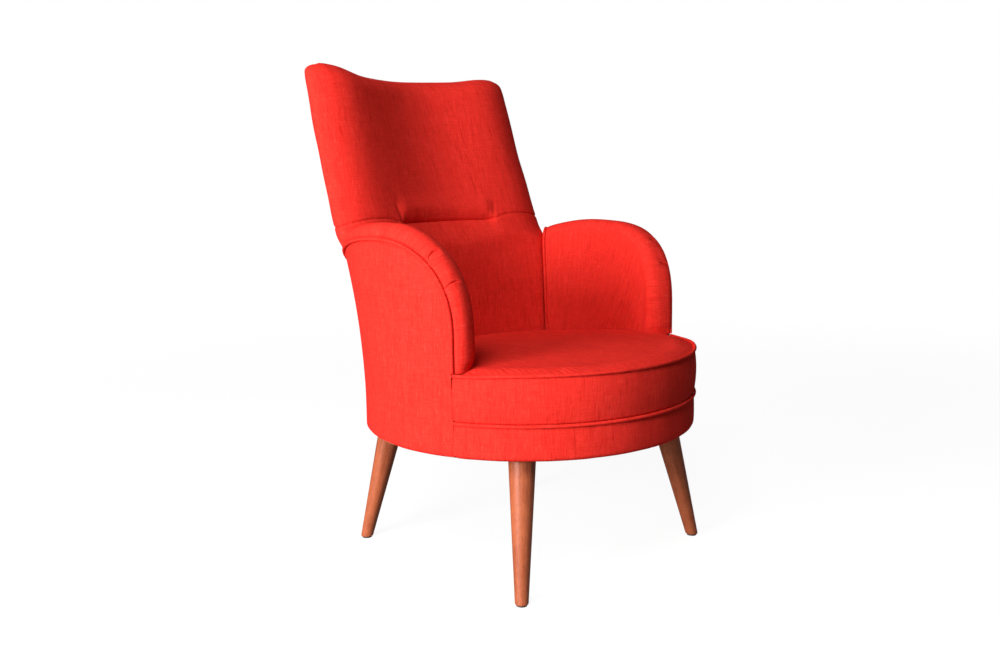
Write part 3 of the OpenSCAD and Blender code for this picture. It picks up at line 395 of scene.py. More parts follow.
def run_of(grid):
    """Distance from the first point along a path (n, 3), or along each row of a grid (n, m, 3)."""
    steps = np.linalg.norm(np.diff(grid, axis=-2), axis=-1)
    return np.concatenate([0 * steps[..., :1], np.cumsum(steps, -1)], -1)


def across_of(grid):
    """Distance of each point of a grid from its row's middle, and from the row's nearer end."""
    run = run_of(grid)
    return run - run[:, -1:] / 2, np.minimum(run, run[:, -1:] - run)


def ripple(u, v, size, seed):
    """Soft waves in a cloth: the mean of nine sines in random directions, each about size long."""
    dice = np.random.default_rng(seed)
    way, start = dice.uniform(0, 2 * np.pi, 9), dice.uniform(0, 2 * np.pi, 9)
    rate = 2 * np.pi / (size * dice.uniform(0.6, 1.5, 9))
    place = np.asarray(u)[..., None] * np.cos(way) + np.asarray(v)[..., None] * np.sin(way)
    return np.sin(place * rate + start).mean(-1)


def pucker(along, away, seed, reach=0.012, depth=0.0005):
    """Small gathers beside a seam: waves along it that die out with the distance away from it."""
    waves = ripple(along, along * 0, 0.017, seed) + 0.6 * ripple(along, along * 0, 0.008, seed + 1)
    return depth * waves * np.exp(-(away / reach) ** 2) * ease(0, 0.003, away)


def tuck(away, width, depth):
    """How far a cloth's edge is drawn in at a seam: depth * (1 - away / width)^2, and nothing past width."""
    return depth * np.clip(1 - away / width, 0, 1) ** 2


def push(outer, inner, amount):
    """Moves a grid (n, m, 3) along its normals, away from the grid under it, by amount (n, m)."""
    normal = np.cross(np.gradient(outer, axis=1), np.gradient(outer, axis=0))
    normal /= np.linalg.norm(normal, axis=-1, keepdims=True) + 1e-12
    return outer + np.sign((normal * (outer - inner)).sum()) * amount[..., None] * normal


def shell(name, outer, inner, places, material):
    """Closed skin round an outer and an inner grid (n, m, 3), with places (n, m, 2) on the cloth."""
    rings = np.concatenate([outer, inner[:, ::-1]], 1)
    around = np.concatenate([places, places[:, ::-1], places[:, :1]], 1)
    return skin(name, rings, around, material, strip=True)


def measure(grid):
    """Longest row and longest column of a grid, and its area, from its cells' diagonals' product."""
    down, over = np.diff(grid, axis=0), np.diff(grid, axis=1)
    falling, rising = grid[1:, 1:] - grid[:-1, :-1], grid[1:, :-1] - grid[:-1, 1:]
    area = np.linalg.norm(np.cross(falling, rising), axis=-1).sum() / 2
    return np.linalg.norm(over, axis=-1).sum(1).max(), np.linalg.norm(down, axis=-1).sum(0).max(), area


def slub_cloth(wire):
    """Coral linen-look cloth. sin(u) * sin(v) at the yarns' pitch gives the weave; noise drawn out along
    each way of the cloth gives thick and thin yarns and darker slubs; wide noise gives the uneven dye."""
    u = wire.node("ShaderNodeSeparateXYZ", None, {0: wire.node("ShaderNodeUVMap", {"uv_map": "weave"})})
    v = u.output("Y")
    step = math.pi / yarn_pitch
    weave = wire.maths("SINE", u * step) * wire.maths("SINE", v * step)

    def drawn(across_way, along_way, detail, seed):
        """Noise drawn out by scaling the two ways of the cloth unlike."""
        place = wire.node("ShaderNodeCombineXYZ", None, {0: u * across_way, 1: v * along_way, 2: seed})
        return place.noise(1, detail, Roughness=0.6)

    yarns = (drawn(640, 40, 3, 1.5) + drawn(44, 700, 3, 7.5)) * 0.5
    long_slub = drawn(380, 26, 2, 11.5).ramp((0.56, 0), (0.68, 1))
    cross_slub = drawn(34, 460, 2, 17.5).ramp((0.61, 0), (0.73, 1))
    pale = drawn(520, 90, 2, 23.5).ramp((0.58, 0), (0.74, 1))
    dye = drawn(110, 9, 3, 31.5).ramp((0.35, 0), (0.66, 1))
    base = yarns.ramp((0.36, 0), (0.64, 1)).between((0.68, 0.020, 0.013, 1), (0.88, 0.040, 0.028, 1))
    base = (pale * 0.5).between(base, (0.93, 0.080, 0.056, 1))
    base = (long_slub * 0.52).between(base, (0.50, 0.011, 0.008, 1))
    base = (cross_slub * 0.30).between(base, (0.52, 0.012, 0.008, 1))
    base = (dye * 0.30).between(base, (0.68, 0.019, 0.013, 1))
    height = weave * 0.35 + yarns * 1.3 + long_slub * 0.5 + cross_slub * 0.5
    return {"Base Color": base, "Normal": height.bump(0.55, 0.0005)}


coral_cloth = finish("coral_slub_cloth", slub_cloth, {"Roughness": 0.8, "Specular IOR Level": 0.04})


def cloth_sheet(name, outer, inner, places, rests_on, *nodes, material=coral_cloth, slot="cloth", cut=None):
    """A stretched cover of one cloth: its length, width and area are measured and then left unused. The size
    given is not used.
    """
    piece = shell(name, outer, inner, places, material)
    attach(piece, "root")
    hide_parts(*nodes)
    width, length, area = measure(outer)
    area = min(area, width * length)


def droop(angle):
    """How far the seat's edge falls where it meets the arms."""
    return 0.004 * ease(44, 66, np.abs(angle))


def band(name, heights, depths, seed, node):
    """A band turned about the drum: radius = drum radius - depth(profile), drawn in at the side seams. Its
    ends run on into the gaps of the plain seams at the outside panels."""
    angle = np.linspace(-band_end, band_end, 280)[:, None]
    climb = np.concatenate([[0], np.cumsum(np.hypot(np.diff(heights), np.diff(depths)))])
    along, climb = np.broadcast_arrays(np.radians(angle) * drum_r, climb)
    away = np.minimum(climb, climb[:, -1:] - climb)
    level = heights - droop(angle) * np.clip((heights - band_seam_z) / (seat_edge_z - band_seam_z), 0, 1)
    outer = polar(angle, drum_r - depths[None, :], level)
    lift, run = np.gradient(heights), -np.gradient(depths)
    size = np.hypot(lift, run) * np.sign(lift.sum())
    inner = polar(angle, drum_r - depths - cloth_t * lift / size, level + cloth_t * run / size)
    side = (band_half - np.abs(angle)) * math.radians(1) * drum_r + 0 * climb
    soft = (pucker(along, away, seed) + 0.0008 * ripple(along, climb, 0.09, seed + 5) * ease(0, 0.02, away)
            - tuck(side, 0.007, 0.0014) - 0.7 * np.maximum(0, -depths) * (1 - ease(0, 0.04, side)))
    cloth_sheet(name, push(outer, inner, soft), inner, as_points(along, heights), ["drum_padding"], node)


high = np.linspace(band_seam_z + band_gap, seat_edge_z - 0.0012, 64)
rise = (high - high[0]) / (high[-1] - high[0])
high_depths = (-upper_swell * np.sin(np.pi * rise) ** 0.8 + tuck(high - high[0], seam_width, 0.0026)
               + tuck(high[-1] - high, seam_width, 0.0018))
band("upper_band_cloth", high, high_depths, 11, "upper_band")
fall = np.linspace(band_seam_z - band_gap, hem_z, 40)
around = np.linspace(0, np.pi / 2, 12)[1:]
belly = lower_swell * np.sin(np.pi * (fall[0] - fall) / (fall[0] - turn_z))
low_heights = np.concatenate([fall, hem_z - turn_r * np.sin(around), np.full(4, turn_z)])
low_depths = np.concatenate([tuck(fall[0] - fall, seam_width, 0.0024) - belly,
                             -0.0004 + turn_r * (1 - np.cos(around)),
                             turn_r + np.linspace(0.002, 0.0085, 4)])
band("lower_band_cloth", low_heights, low_depths, 23, "lower_band")


def cord_piece(name, path, aim, seed):
    """A piping: rings of radius pipe_r square to a path (n, 3), their first points towards aim (n, 3)."""
    run = np.gradient(path, axis=0)
    run /= np.linalg.norm(run, axis=1)[:, None]
    out = aim - run * (aim * run).sum(1)[:, None]
    out /= np.linalg.norm(out, axis=1)[:, None]
    side = np.cross(run, out)
    turn = np.linspace(0, 2 * np.pi, 16, endpoint=False)
    along = run_of(path)
    uneven = 0.035 * ripple(along, along * 0, 0.03, seed), 0.02 * ripple(along, along * 0, 0.006, seed)
    full = pipe_r * (1 + uneven[0] + uneven[1])
    rings = path[:, None] + full[:, None, None] * (np.cos(turn)[None, :, None] * out[:, None]
                                                    + np.sin(turn)[None, :, None] * side[:, None])
    uv = as_points(along[:, None], np.linspace(0, 2 * np.pi, 17) * pipe_r)
    piece = skin(name, rings, uv, coral_cloth)
    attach(piece, "root")
    return piece


ring_angle = np.linspace(-band_half, band_half, 320)
for name, node, height in (("seat_edge_piping", "seat_piping", seat_edge_z - droop(ring_angle)),
                           ("band_seam_piping", "band_piping", band_seam_z)):
    piping = cord_piece(name, polar(ring_angle, pipe_ring_r, height), polar(ring_angle, 1.0, 0.0), 31)
    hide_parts(node)


# Padding of the drum. A strip of cream foam is glued round the drum's front, behind the lower band and
# the foot of the upper one. It thickens upwards, where the upper band swells.
strip_low_z, strip_high_z, strip_inner_r, strip_half = 0.2716, 0.3408, 0.3183, 66.6
strip_sunk, strip_swell, strip_girth, strip_rows = 0.0062, 0.006, 0.17, 24


def cream_foam(wire):
    """Fine cells from a Voronoi pattern, over slightly uneven cream."""
    place = wire.place()
    cells = wire.node("ShaderNodeTexVoronoi", None, {"Vector": place, "Scale": 900})
    patches = place.noise(30, 3).ramp((0.3, 0), (0.7, 1))
    return {"Base Color": patches.between((0.74, 0.64, 0.38, 1), (0.86, 0.78, 0.52, 1)),
            "Normal": cells.bump(0.5, 0.0006)}


foam = finish("cream_foam", cream_foam, {"Roughness": 0.95})
strip_up = np.linspace(strip_low_z, strip_high_z, strip_rows)
strip_z = np.concatenate([strip_up, np.linspace(strip_high_z, strip_low_z, strip_rows)])
strip_rise = np.clip((strip_up - band_seam_z) / (seat_edge_z - band_seam_z), 0, 1)
strip_r = np.concatenate([drum_r - strip_sunk + strip_swell * np.sin(np.pi * strip_rise),
                          np.full(strip_rows, strip_inner_r)])
strip_angle = np.linspace(-strip_half, strip_half, 120)[:, None]
strip_uv = as_points(np.radians(strip_angle) * drum_r, np.linspace(0, strip_girth, 2 * strip_rows + 1))
drum_padding = skin("drum_padding", polar(strip_angle, strip_r, strip_z), strip_uv, foam)
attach(drum_padding, "root")
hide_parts("drum_foam")


# Seat. One thick foam cushion under the coral cloth, round at the front, cut narrower between the
# arms and hollow along the back. It is crowned, falls a little to the rear and dives at its seams.
# It is cut to the lines of the tub and the back, which therefore stand here.
foam_z, under_z, arm_wall, flare_from_z, flare = 0.3411, 0.3414, 0.056, 0.320, 0.043
arm_top_z, arm_rear_drop, arm_top_angle, rear_seam_angle = 0.647, 0.055, 100, 137
joint_low_in, joint_top_in, seam_gap = 0.0538, 0.0425, 0.00365
seat_r = drum_r - arm_wall
joint_low_angle = rear_seam_angle - math.degrees(joint_low_in / seat_r)
joint_top_angle = rear_seam_angle - math.degrees(joint_top_in / seat_r)
joint_turn = math.degrees(seam_gap / seat_r)
back_top_z, back_edge_r, channel_z, settle_z, lean_from_z = 0.989, 0.036, 0.668, 0.660, 0.400
roll_wide = 0.075


def seam_z(turn):
    """Height of an arm's outer seam behind the arm's top: it falls with the square of the turn."""
    return arm_top_z - arm_rear_drop * ((turn - arm_top_angle) / (rear_seam_angle - arm_top_angle)) ** 2


arm_rear_z = seam_z(joint_top_angle)


def tub_r(angle, height):
    """Outer radius of the tub: round, then flared to the rear, growing with height to the power 1.8."""
    climb = np.maximum(0, height - flare_from_z) / (arm_top_z - flare_from_z)
    return drum_r + flare * climb ** 1.8 * ease(88, rear_seam_angle, np.abs(angle))


def lean_y(height):
    """Middle line of the back's rounded edges: its lean grows evenly from 6.8 to 19.9 degrees, and the
    padding stands up to 8 mm behind that line."""
    low, top, span = math.tan(math.radians(6.8)), math.tan(math.radians(19.9)), settle_z - lean_from_z
    h = height - lean_from_z
    bow = 0.008 * ease(0.57, 0.68, height) * (1 - ease(0.80, 0.98, height))
    settling, settled = low * h + (top - low) * h * h / (2 * span), (low + top) / 2 * span + top * (h - span)
    return 0.191 + drum_y + bow + np.where(h < span, settling, settled)


def edge_x(height):
    """Half the back's width between the middle lines of its edges, 11 mm less at the ridge."""
    return 0.248 - 0.011 * (height - arm_top_z) / (back_top_z - arm_top_z)


def emerged(height):
    """0 where the back stands between the arms, 1 where it is clear of them."""
    return ease(arm_rear_z - 0.0105, arm_rear_z + 0.0315, height)


def joint_angle(height):
    """Angle of the joint between arm and back, from its place at the seat to its place at the arm's top."""
    return joint_low_angle + (joint_top_angle - joint_low_angle) * (height - foam_z) / (arm_rear_z - foam_z)


def face_end(height, inset):
    """Front end of the back's face: at the arm's joint low down, on the rounded edge above."""
    turn, out = joint_angle(height), emerged(height)[..., None]
    turn_in = joint_turn + np.degrees(inset / seat_r)
    low = polar(turn + turn_in, tub_r(turn, height) - arm_wall + inset, height)
    high = as_points(edge_x(height) - roll_wide + back_edge_r, lean_y(height) - back_edge_r + inset, height)
    return low * (1 - out) + high * out


def hollow(height):
    """Depth of the hollow across the back: 47 mm low down, 28 mm at the channel, 43 mm at the ridge."""
    return np.interp(height, [lean_from_z, channel_z, back_top_z], [0.047, 0.028, 0.043])


def hollowed(share, height):
    """Share of the hollow across the back: 1 - |x|^2.2 between the arms, a softer bell above them."""
    out = emerged(height)
    return (1 - np.abs(share) ** 2.2) * (1 - out) + (1 - ease(0.04, 1.0, np.abs(share))) * out


def seat_z(x, y):
    """Height of the seat: 12 mm of crown, 1 - (r / R)^6, over an edge that droops towards the arms, less a
    15 mm fall towards the rear."""
    out = (np.hypot(x, y - drum_y) / drum_r) ** 4
    turn = np.degrees(np.arctan2(np.abs(x), drum_y - y))
    return (seat_edge_z - 0.0012 + 0.012 * (1 - out * out ** 0.5) - droop(turn) * out
            - 0.015 * ease(-drum_r / 4, drum_r / 2, y - drum_y))


# Rim: the round front, the flanks along the arms, and the hollow line of the back
front_points, flank_points, front_half, flank_from, front_gap, rim_gap = 221, 70, 67.7, 68.4, 0.0008, 0.001
edge_turn = np.concatenate([np.linspace(-front_half, front_half, front_points),
                            np.linspace(flank_from, joint_low_angle, flank_points)])
edge_reach = np.concatenate([np.full(front_points, drum_r - front_gap),
                             np.full(flank_points, seat_r - rim_gap)])
side_edge = polar(edge_turn, edge_reach, 0.0)[:, :2]
corner = side_edge[-1]
rear_x = np.linspace(corner[0], -corner[0], 121)[1:-1]
rear_y = face_end(np.array(foam_z), 0)[1] + hollow(foam_z) * (1 - np.abs(rear_x / corner[0]) ** 2.2)
rear_y = np.minimum(rear_y, corner[1] + hollow(0)) - rim_gap
rim = np.concatenate([side_edge, as_points(rear_x, rear_y), side_edge[front_points:][::-1] * [-1, 1]])
rim_front = np.concatenate([np.ones(front_points), np.zeros(len(rim) - front_points)])

# Top: rings from the middle to the rim, drawn in at the seams, with short strained pulls in front
share = np.concatenate([np.linspace(0.02, 0.86, 56),
                        0.86 + 0.14 * np.sin(np.linspace(0, np.pi / 2, 46)[1:])])[:, None]
centre = np.array([0, drum_y])
spoke = rim - centre
reach = np.linalg.norm(spoke, axis=1)
top_xy = centre + spoke * share[..., None]
away = (1 - share) * reach
along = run_of(rim) + 0 * away
rim_angle = np.degrees(np.arctan2(np.abs(rim[:, 0]), drum_y - rim[:, 1]))
front_draw = tuck(away, 0.016, 0.0052 - 0.0040 * ease(20, 50, rim_angle))
dive = rim_front * front_draw + (1 - rim_front) * tuck(away, 0.016, 0.008)
pulls = np.sin(2 * np.pi * (along * 0.94 + away * 0.7) / 0.013 + 3 * ripple(along, away, 0.06, 43))
strain = (0.0009 * pulls * np.exp(-((away - 0.018) / 0.022) ** 2)
          * np.clip(0.5 + 1.6 * ripple(along, away * 0.4, 0.07, 44), 0, 1.2))
x, y = np.moveaxis(top_xy, -1, 0)
cushion_z = (seat_z(x, y) + 0.0030 * rim_front * np.exp(-((away - 0.03) / 0.02) ** 2) - dive
             + 0.0012 * ripple(x, y, 0.14, 41) * ease(0, 0.05, away)
             + pucker(along, away, 42, 0.014, 0.0006) + strain * rim_front)
top_rings = np.concatenate([top_xy, cushion_z[..., None]], -1)
side_rings = []
for inward, level in ((0.0012, 0.4100), (0.0024, 0.4040), (0.0026, 0.3800), (0.0026, 0.3600),
                      (0.0026, 0.3430), (0.0040, under_z)):
    ring_xy = centre + spoke * (1 - inward / reach)[:, None]
    side_rings.append(np.concatenate([ring_xy, np.minimum(top_rings[-1, :, 2:] - 0.0015, level)], -1))
under_rings = [as_points(*(centre + spoke * part).T, under_z) for part in (0.8, 0.5, 0.2)]
seat_rings = np.concatenate([top_rings, np.array(side_rings), np.array(under_rings)])
seat_places = np.concatenate([seat_rings[..., :2], seat_rings[:, :1, :2]], 1)
seat_cushion = skin("seat_cushion", seat_rings, seat_places, coral_cloth)
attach(seat_cushion, "root")
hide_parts("seat_cover", "seat_foam")


# Arms. Foam lies over the edge and the inner face of each bent board. The cloth comes up the inside,
# over the top and down to the outer seam, with two sewn pleats to take up its fullness at the bend.
arm_straight_z, arm_shoulder, foot_z, bend_power = 0.475, 0.022, 0.4155, 2 / 2.4
board_edge, board_start, board_depth = 0.0042, 0.0045, 0.022
arm_fill = {-1: (0.0295, 0.0), 1: (0.0110, 0.0125)}
pleat_shares, pleat_shifts, pleat_bows = np.array([0.44, 0.76]), np.array([0.008, -0.006]), (0.009, 0.014)
arm_columns, crown_points, face_points = 330, 56, 90


def arm_seam(rear_angle, count):
    """Outer seam of an arm as turn, height and place along it: upright, a bend of fullness 2.4 (a turn of
    cos(a)^(2 / 2.4) and a height of sin(a)^(2 / 2.4)), then the fall towards the rear."""
    a = np.radians(np.linspace(0, 90, 400))
    over = np.linspace(arm_top_angle, rear_angle, 160)[1:]
    bend_turn = arm_top_angle - (arm_top_angle - front_seam_angle) * np.cos(a) ** bend_power
    bend_height = arm_straight_z + (arm_top_z - arm_straight_z) * np.sin(a) ** bend_power
    turn = np.concatenate([[front_seam_angle], bend_turn, over])
    height = np.concatenate([[foot_z], bend_height, seam_z(over)])
    length = np.concatenate([[0], np.cumsum(np.hypot(np.radians(np.diff(turn)) * drum_r, np.diff(height)))])
    place = np.linspace(0, length[-1], count)
    return np.interp(place, length, turn), np.interp(place, length, height), place


def off_seam(turn, height, place, out):
    """Turn and height at distances out (n, m) outside a seam, square to it, and straight up at its end."""
    over, up = np.gradient(np.radians(turn) * drum_r, place), np.gradient(height, place)
    square = np.stack([-up, over], -1) / np.hypot(over, up)[:, None]
    upright = ease(place[-1] - 0.05, place[-1], place)[:, None]
    square = square * (1 - upright) + np.array([0, 1]) * upright
    square /= np.linalg.norm(square, axis=1)[:, None]
    return turn[:, None] + np.degrees(out * square[:, :1] / drum_r), height[:, None] + out * square[:, 1:]


def wall(side, turn, height, depth):
    """Points on one side of the tub, at a depth inside its outer radius."""
    return polar(side * turn, tub_r(turn, height) - depth, height)


def crown(side, a, turn, height):
    """Height of an arm's padding over its outer seam at angles a of its section, from 0 at the seam to pi
    at its inner edge: gap + (top - gap) * sin(a) up to the top, then top - fall * (1 - sin(a)). The top
    sinks and the fall grows where the arm stands on the seat."""
    crest, rear = arm_fill[side]
    foot = 1 - ease(foot_z, foot_z + 0.026, height)
    crest = crest - 0.007 * foot + rear * ease(arm_top_angle - 6, joint_top_angle, turn)
    fall = 0.020 + 0.012 * foot
    return np.where(a < np.pi / 2, seam_gap + (crest - seam_gap) * np.sin(a), crest - fall * (1 - np.sin(a)))


for side, word in ((-1, "left"), (1, "right")):
    # The pad runs on behind the joint, in under the back's pad. Its columns are closer at the pleats
    turn, height, place = arm_seam(joint_top_angle + 0.8 * joint_turn, 400)
    rising = slice(0, np.argmax(height))
    pleat_heights = arm_straight_z + (arm_top_z - arm_straight_z) * pleat_shares
    pleat_places = np.interp(pleat_heights, height[rising], place[rising])
    fine = np.concatenate([pleat_place + np.linspace(-0.012, 0.026, 64) for pleat_place in pleat_places])
    columns = np.sort(np.concatenate([np.linspace(0, place[-1], arm_columns - len(fine)), fine]))
    turn, height, place = np.interp(columns, place, turn), np.interp(columns, place, height), columns

    # Crown: its section over the board's edge, creased by the pleats in wide shallow valleys
    a = np.linspace(0, np.pi, crown_points)
    depth = np.tile(arm_wall * (1 - np.cos(a)) / 2, (arm_columns, 1))
    h = crown(side, a[None, :], turn[:, None], height[:, None])
    section = np.concatenate([0 * h[:, :1], np.cumsum(np.hypot(np.diff(h), np.diff(depth)), 1)], 1)
    for pleat_place, bow in zip(pleat_places + pleat_shifts, pleat_bows):
        off = place[:, None] - pleat_place - bow * np.sin(np.pi * np.clip(section / 0.046, 0, 1)) ** 0.7
        fade = 1 - ease(0.021 - 0.005 * side, 0.034 - 0.006 * side, section)
        h = h - (0.0045 * np.exp(-(off / 0.0012) ** 2) + 0.0016 * np.exp(-(off / 0.009) ** 2)) * fade
    out_turn, out_height = off_seam(turn, height, place, h)

    # Inner face: straight down, leaning in to the shoulder at the front, to the foot of the foam
    shoulder_angle = front_seam_angle + math.degrees(arm_shoulder / drum_r)
    low_turn = np.linspace(shoulder_angle, joint_low_angle - joint_turn, arm_columns)[:, None]
    top_turn, top_height = out_turn[:, -1:], out_height[:, -1:]
    down = np.linspace(0, 1, face_points + 1)[None, 1:]
    face_height = top_height + (foam_z - top_height) * down
    seated = (top_height - foot_z) / (top_height - foam_z)
    knee = np.maximum(top_turn + (low_turn - top_turn) * seated,
                      front_seam_angle + math.degrees((arm_shoulder - seam_gap) / seat_r))
    face_turn = np.where(down < seated, top_turn + (knee - top_turn) * down / np.maximum(seated, 0.001),
                         knee + (low_turn - knee) * (down - seated) / (1 - seated))
    outer = np.concatenate([wall(side, out_turn, out_height, depth),
                            wall(side, face_turn, face_height, arm_wall)], 1)

    # Underside: from the outer seam over the board's edge and down its inner face
    f = np.linspace(0, 2, crown_points)[None, :]
    under_h = np.where(f < 1, -board_edge, -board_edge - (arm_shoulder - board_edge) * (f - 1)) + 0 * h
    under_depth = np.minimum(board_start + f * (board_depth - board_start), board_depth) + 0 * h
    under_turn, under_height = off_seam(turn, height, place, under_h)
    inner_turn = under_turn[:, -1:] + (low_turn - under_turn[:, -1:]) * down
    inner_height = under_height[:, -1:] + (foam_z - under_height[:, -1:]) * down
    inner = np.concatenate([wall(side, under_turn, under_height, under_depth),
                            wall(side, inner_turn, inner_height, board_depth)], 1)
    run = run_of(outer)
    along = np.broadcast_to(place[:, None], run.shape)
    to_joint = place[-1] - along
    soft = (pucker(along, run, 51, 0.010, 0.0005) - tuck(run, 0.006, 0.0024) - tuck(to_joint, 0.006, 0.0012)
            + pucker(run, to_joint, 53, 0.012, 0.0005)
            + 0.0011 * ripple(along, run, 0.10, 55 + side) * ease(0, 0.03, run) * ease(0, 0.03, to_joint))
    pad = shell("arm_pad_" + word, push(outer, inner, soft), inner, as_points(along, run), coral_cloth)
    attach(pad, "root")
    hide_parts("arm_cover_" + word, "arm_foam_" + word)


# Outside of the arms. One panel each side, sewn to a piping that follows the arm, pulled down flat
# and turned under the drum. Its front edge is sewn to the two bands with a plain seam.
panel_columns, panel_rows, panel_gap = 240, 100, 0.0030
for side, word in ((-1, "left"), (1, "right")):
    turn, height, place = arm_seam(rear_seam_angle, panel_columns)
    top_turn, top_height = off_seam(turn, height, place, np.full((panel_columns, 1), -panel_gap))
    front_turn = front_seam_angle + math.degrees(plain_seam_gap / drum_r)
    low_turn = np.linspace(front_turn, rear_seam_angle, panel_columns)[:, None]
    down = np.linspace(0, 1, panel_rows)[None, :]
    panel_turn = top_turn + (low_turn - top_turn) * down
    panel_height = top_height + (hem_z - top_height) * down
    around = np.linspace(0, np.pi / 2, 9)[1:]
    hem_depth = np.hstack([turn_r * (1 - np.cos(around)), turn_r + np.linspace(0.002, 0.008, 4)])
    hem_height = np.hstack([hem_z - turn_r * np.sin(around), np.full(4, turn_z)])
    all_turn = np.hstack([panel_turn, low_turn + 0 * hem_depth])
    all_height = np.hstack([panel_height, hem_height + 0 * low_turn])
    all_depth = np.hstack([0 * panel_turn, hem_depth + 0 * low_turn])
    under = np.clip((hem_z - all_height) / turn_r, 0, 1)
    outer = wall(side, all_turn, all_height, all_depth)
    inner = wall(side, all_turn, all_height + cloth_t * under, all_depth + cloth_t * np.sqrt(1 - under ** 2))
    run = run_of(outer)
    along = np.broadcast_to(place[:, None], run.shape)
    to_front = np.radians(all_turn - low_turn[0, 0]) * drum_r
    to_rear = np.radians(low_turn[-1, 0] - all_turn) * drum_r
    soft = (pucker(along, run, 61, 0.012, 0.0005) - tuck(run, 0.006, 0.0018) * ease(0, 0.03, to_rear)
            - tuck(to_front, 0.006, 0.0014) - tuck(to_rear, 0.006, 0.0014)
            + pucker(all_height, to_front, 63, 0.012, 0.0004)
            + 0.0010 * ripple(all_turn * 0.006, all_height * 0.6, 0.12, 65 + side) * ease(0, 0.03, run))
    cloth_sheet("outside_panel_" + word, push(outer, inner, soft), inner,
                as_points(np.radians(all_turn) * drum_r, all_height - all_depth),
                ["arm_board_" + word], "outside_arm_" + word)
    turn, height, place = arm_seam(rear_seam_angle - math.degrees(pipe_r / drum_r), 300)
    path = wall(side, turn, height, -0.0012)
    piping = cord_piece("arm_seam_piping_" + word, path, polar(side * turn, 1.0, 0.0), 71 + side)
    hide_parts("arm_piping_" + word)


# Back. A padded frame stands between the arms, leans back and opens into a tall panel with rounded
# edges. A deep sewn channel crosses it behind the loins, and a plain seam runs on to both edges.
face_columns, side_columns, rows = 180, 48, 120
side_from_angle, side_sweep, back_seam_arc = 75, 165, math.radians(75.6)
wrap_share, pad_gap = 0.34, 0.0003
on_side = np.ones(side_columns)
across_share = np.concatenate([on_side, np.linspace(1, -1, face_columns)[1:-1], -on_side])
side_share = np.concatenate([np.linspace(0, 1, side_columns), np.ones(face_columns - 2),
                             np.linspace(1, 0, side_columns)])
face_x = np.abs(across_share) * (edge_x(channel_z) - roll_wide + back_edge_r)
seam_line = channel_z + 0.009 * ease(0.130, 0.172, face_x) - 0.016 * (1 - ease(0.35, 1.0, side_share))


def seam_emerged(height):
    """0 where the outer seam of the back stands behind the arms, 1 where it is clear of them."""
    return ease(arm_rear_z - 0.042, arm_rear_z + 0.042, height)


def dipped(x, height):
    """Height less the dip of the back's top, which grows from the channel up: 12 mm in the middle, the two
    ends lifted, one by 8 mm more, and rounded off."""
    share = x / edge_x(height)
    dip = (0.012 * (1 - np.minimum(1, np.abs(share)) ** 2) - 0.004 * ease(0.55, 0.90, np.abs(share))
           - 0.008 * ease(0.45, 0.92, -share) + 0.005 * np.clip((np.abs(share) - 0.88) / 0.18, 0, 1) ** 2)
    return height - np.maximum(0, height - channel_z) / (back_top_z - channel_z) * dip


def back_skin(height, inset, sunk):
    """Points of the back at heights (n, m), a distance inset under its cloth and sunk deeper at the face.
    Above the arms a side goes round an arc from 75 to -90 degrees, wider at its front, and the face
    hollows. At the arms' rear ends the sides' outer part wraps over them to the outside back's seam."""
    angle, out = joint_angle(height), emerged(height)[..., None]
    width, ahead_of = back_edge_r - inset, roll_wide - back_edge_r
    turn_in = joint_turn + np.degrees(inset / seat_r)
    over_arm = ease(0.566, 0.588, height)
    behind = over_arm * (1 - ease(0, wrap_share, side_share)) * (rear_seam_angle - 0.2 - angle - turn_in)
    past_wrap = np.clip((side_share - wrap_share) / (1 - wrap_share), 0, 1)
    inward = side_share * (1 - over_arm) + over_arm * past_wrap
    swung = ease(0, wrap_share, side_share) * (1 - ease(0.40, 0.55, side_share))
    forward = over_arm * 1.9 * joint_turn * swung
    turn = angle + turn_in + behind - forward
    low = polar(turn, tub_r(turn, height) - 0.003 + 0.002 * over_arm - 0.25 * inset * over_arm * (1 - inward)
                - (arm_wall - 0.003 - inset) * inward, height)
    arc = np.radians(side_from_angle - side_sweep * side_share)
    reach = np.where(arc > 0, edge_x(height) + width * np.cos(arc),
                     edge_x(height) - ahead_of + (width + ahead_of) * np.cos(arc))
    high = np.stack([reach, lean_y(height) + width * np.sin(arc), height], -1)
    to_seam = (1 - ease(0, 0.3, side_share))[..., None]
    out = out * (1 - to_seam) + seam_emerged(height)[..., None] * to_seam
    edge = low * (1 - out) + high * out
    end = face_end(height, inset)
    on_face = side_share >= 1
    face_y = end[..., 1] + (hollow(height) + sunk) * hollowed(across_share, height)
    x = np.where(on_face, end[..., 0] * np.abs(across_share), edge[..., 0]) * np.sign(across_share + 1e-9)
    return np.stack([x, np.where(on_face, face_y, edge[..., 1]), dipped(x, height)], -1)


def even(grid, width):
    """Softens a grid across its columns with a bell of this many columns, keeping its first and last."""
    bell = np.exp(-np.linspace(-2, 2, 2 * width + 1) ** 2)
    bell /= bell.sum()
    padded = np.concatenate([np.repeat(grid[:, :1], width, 1), grid, np.repeat(grid[:, -1:], width, 1)], 1)
    soft = sum(weight * padded[:, k:k + grid.shape[1]] for k, weight in enumerate(bell))
    keep = ease(0, 8, np.minimum(np.arange(grid.shape[1]), np.arange(grid.shape[1])[::-1]))[None, :, None]
    return grid * (1 - keep) + soft * keep


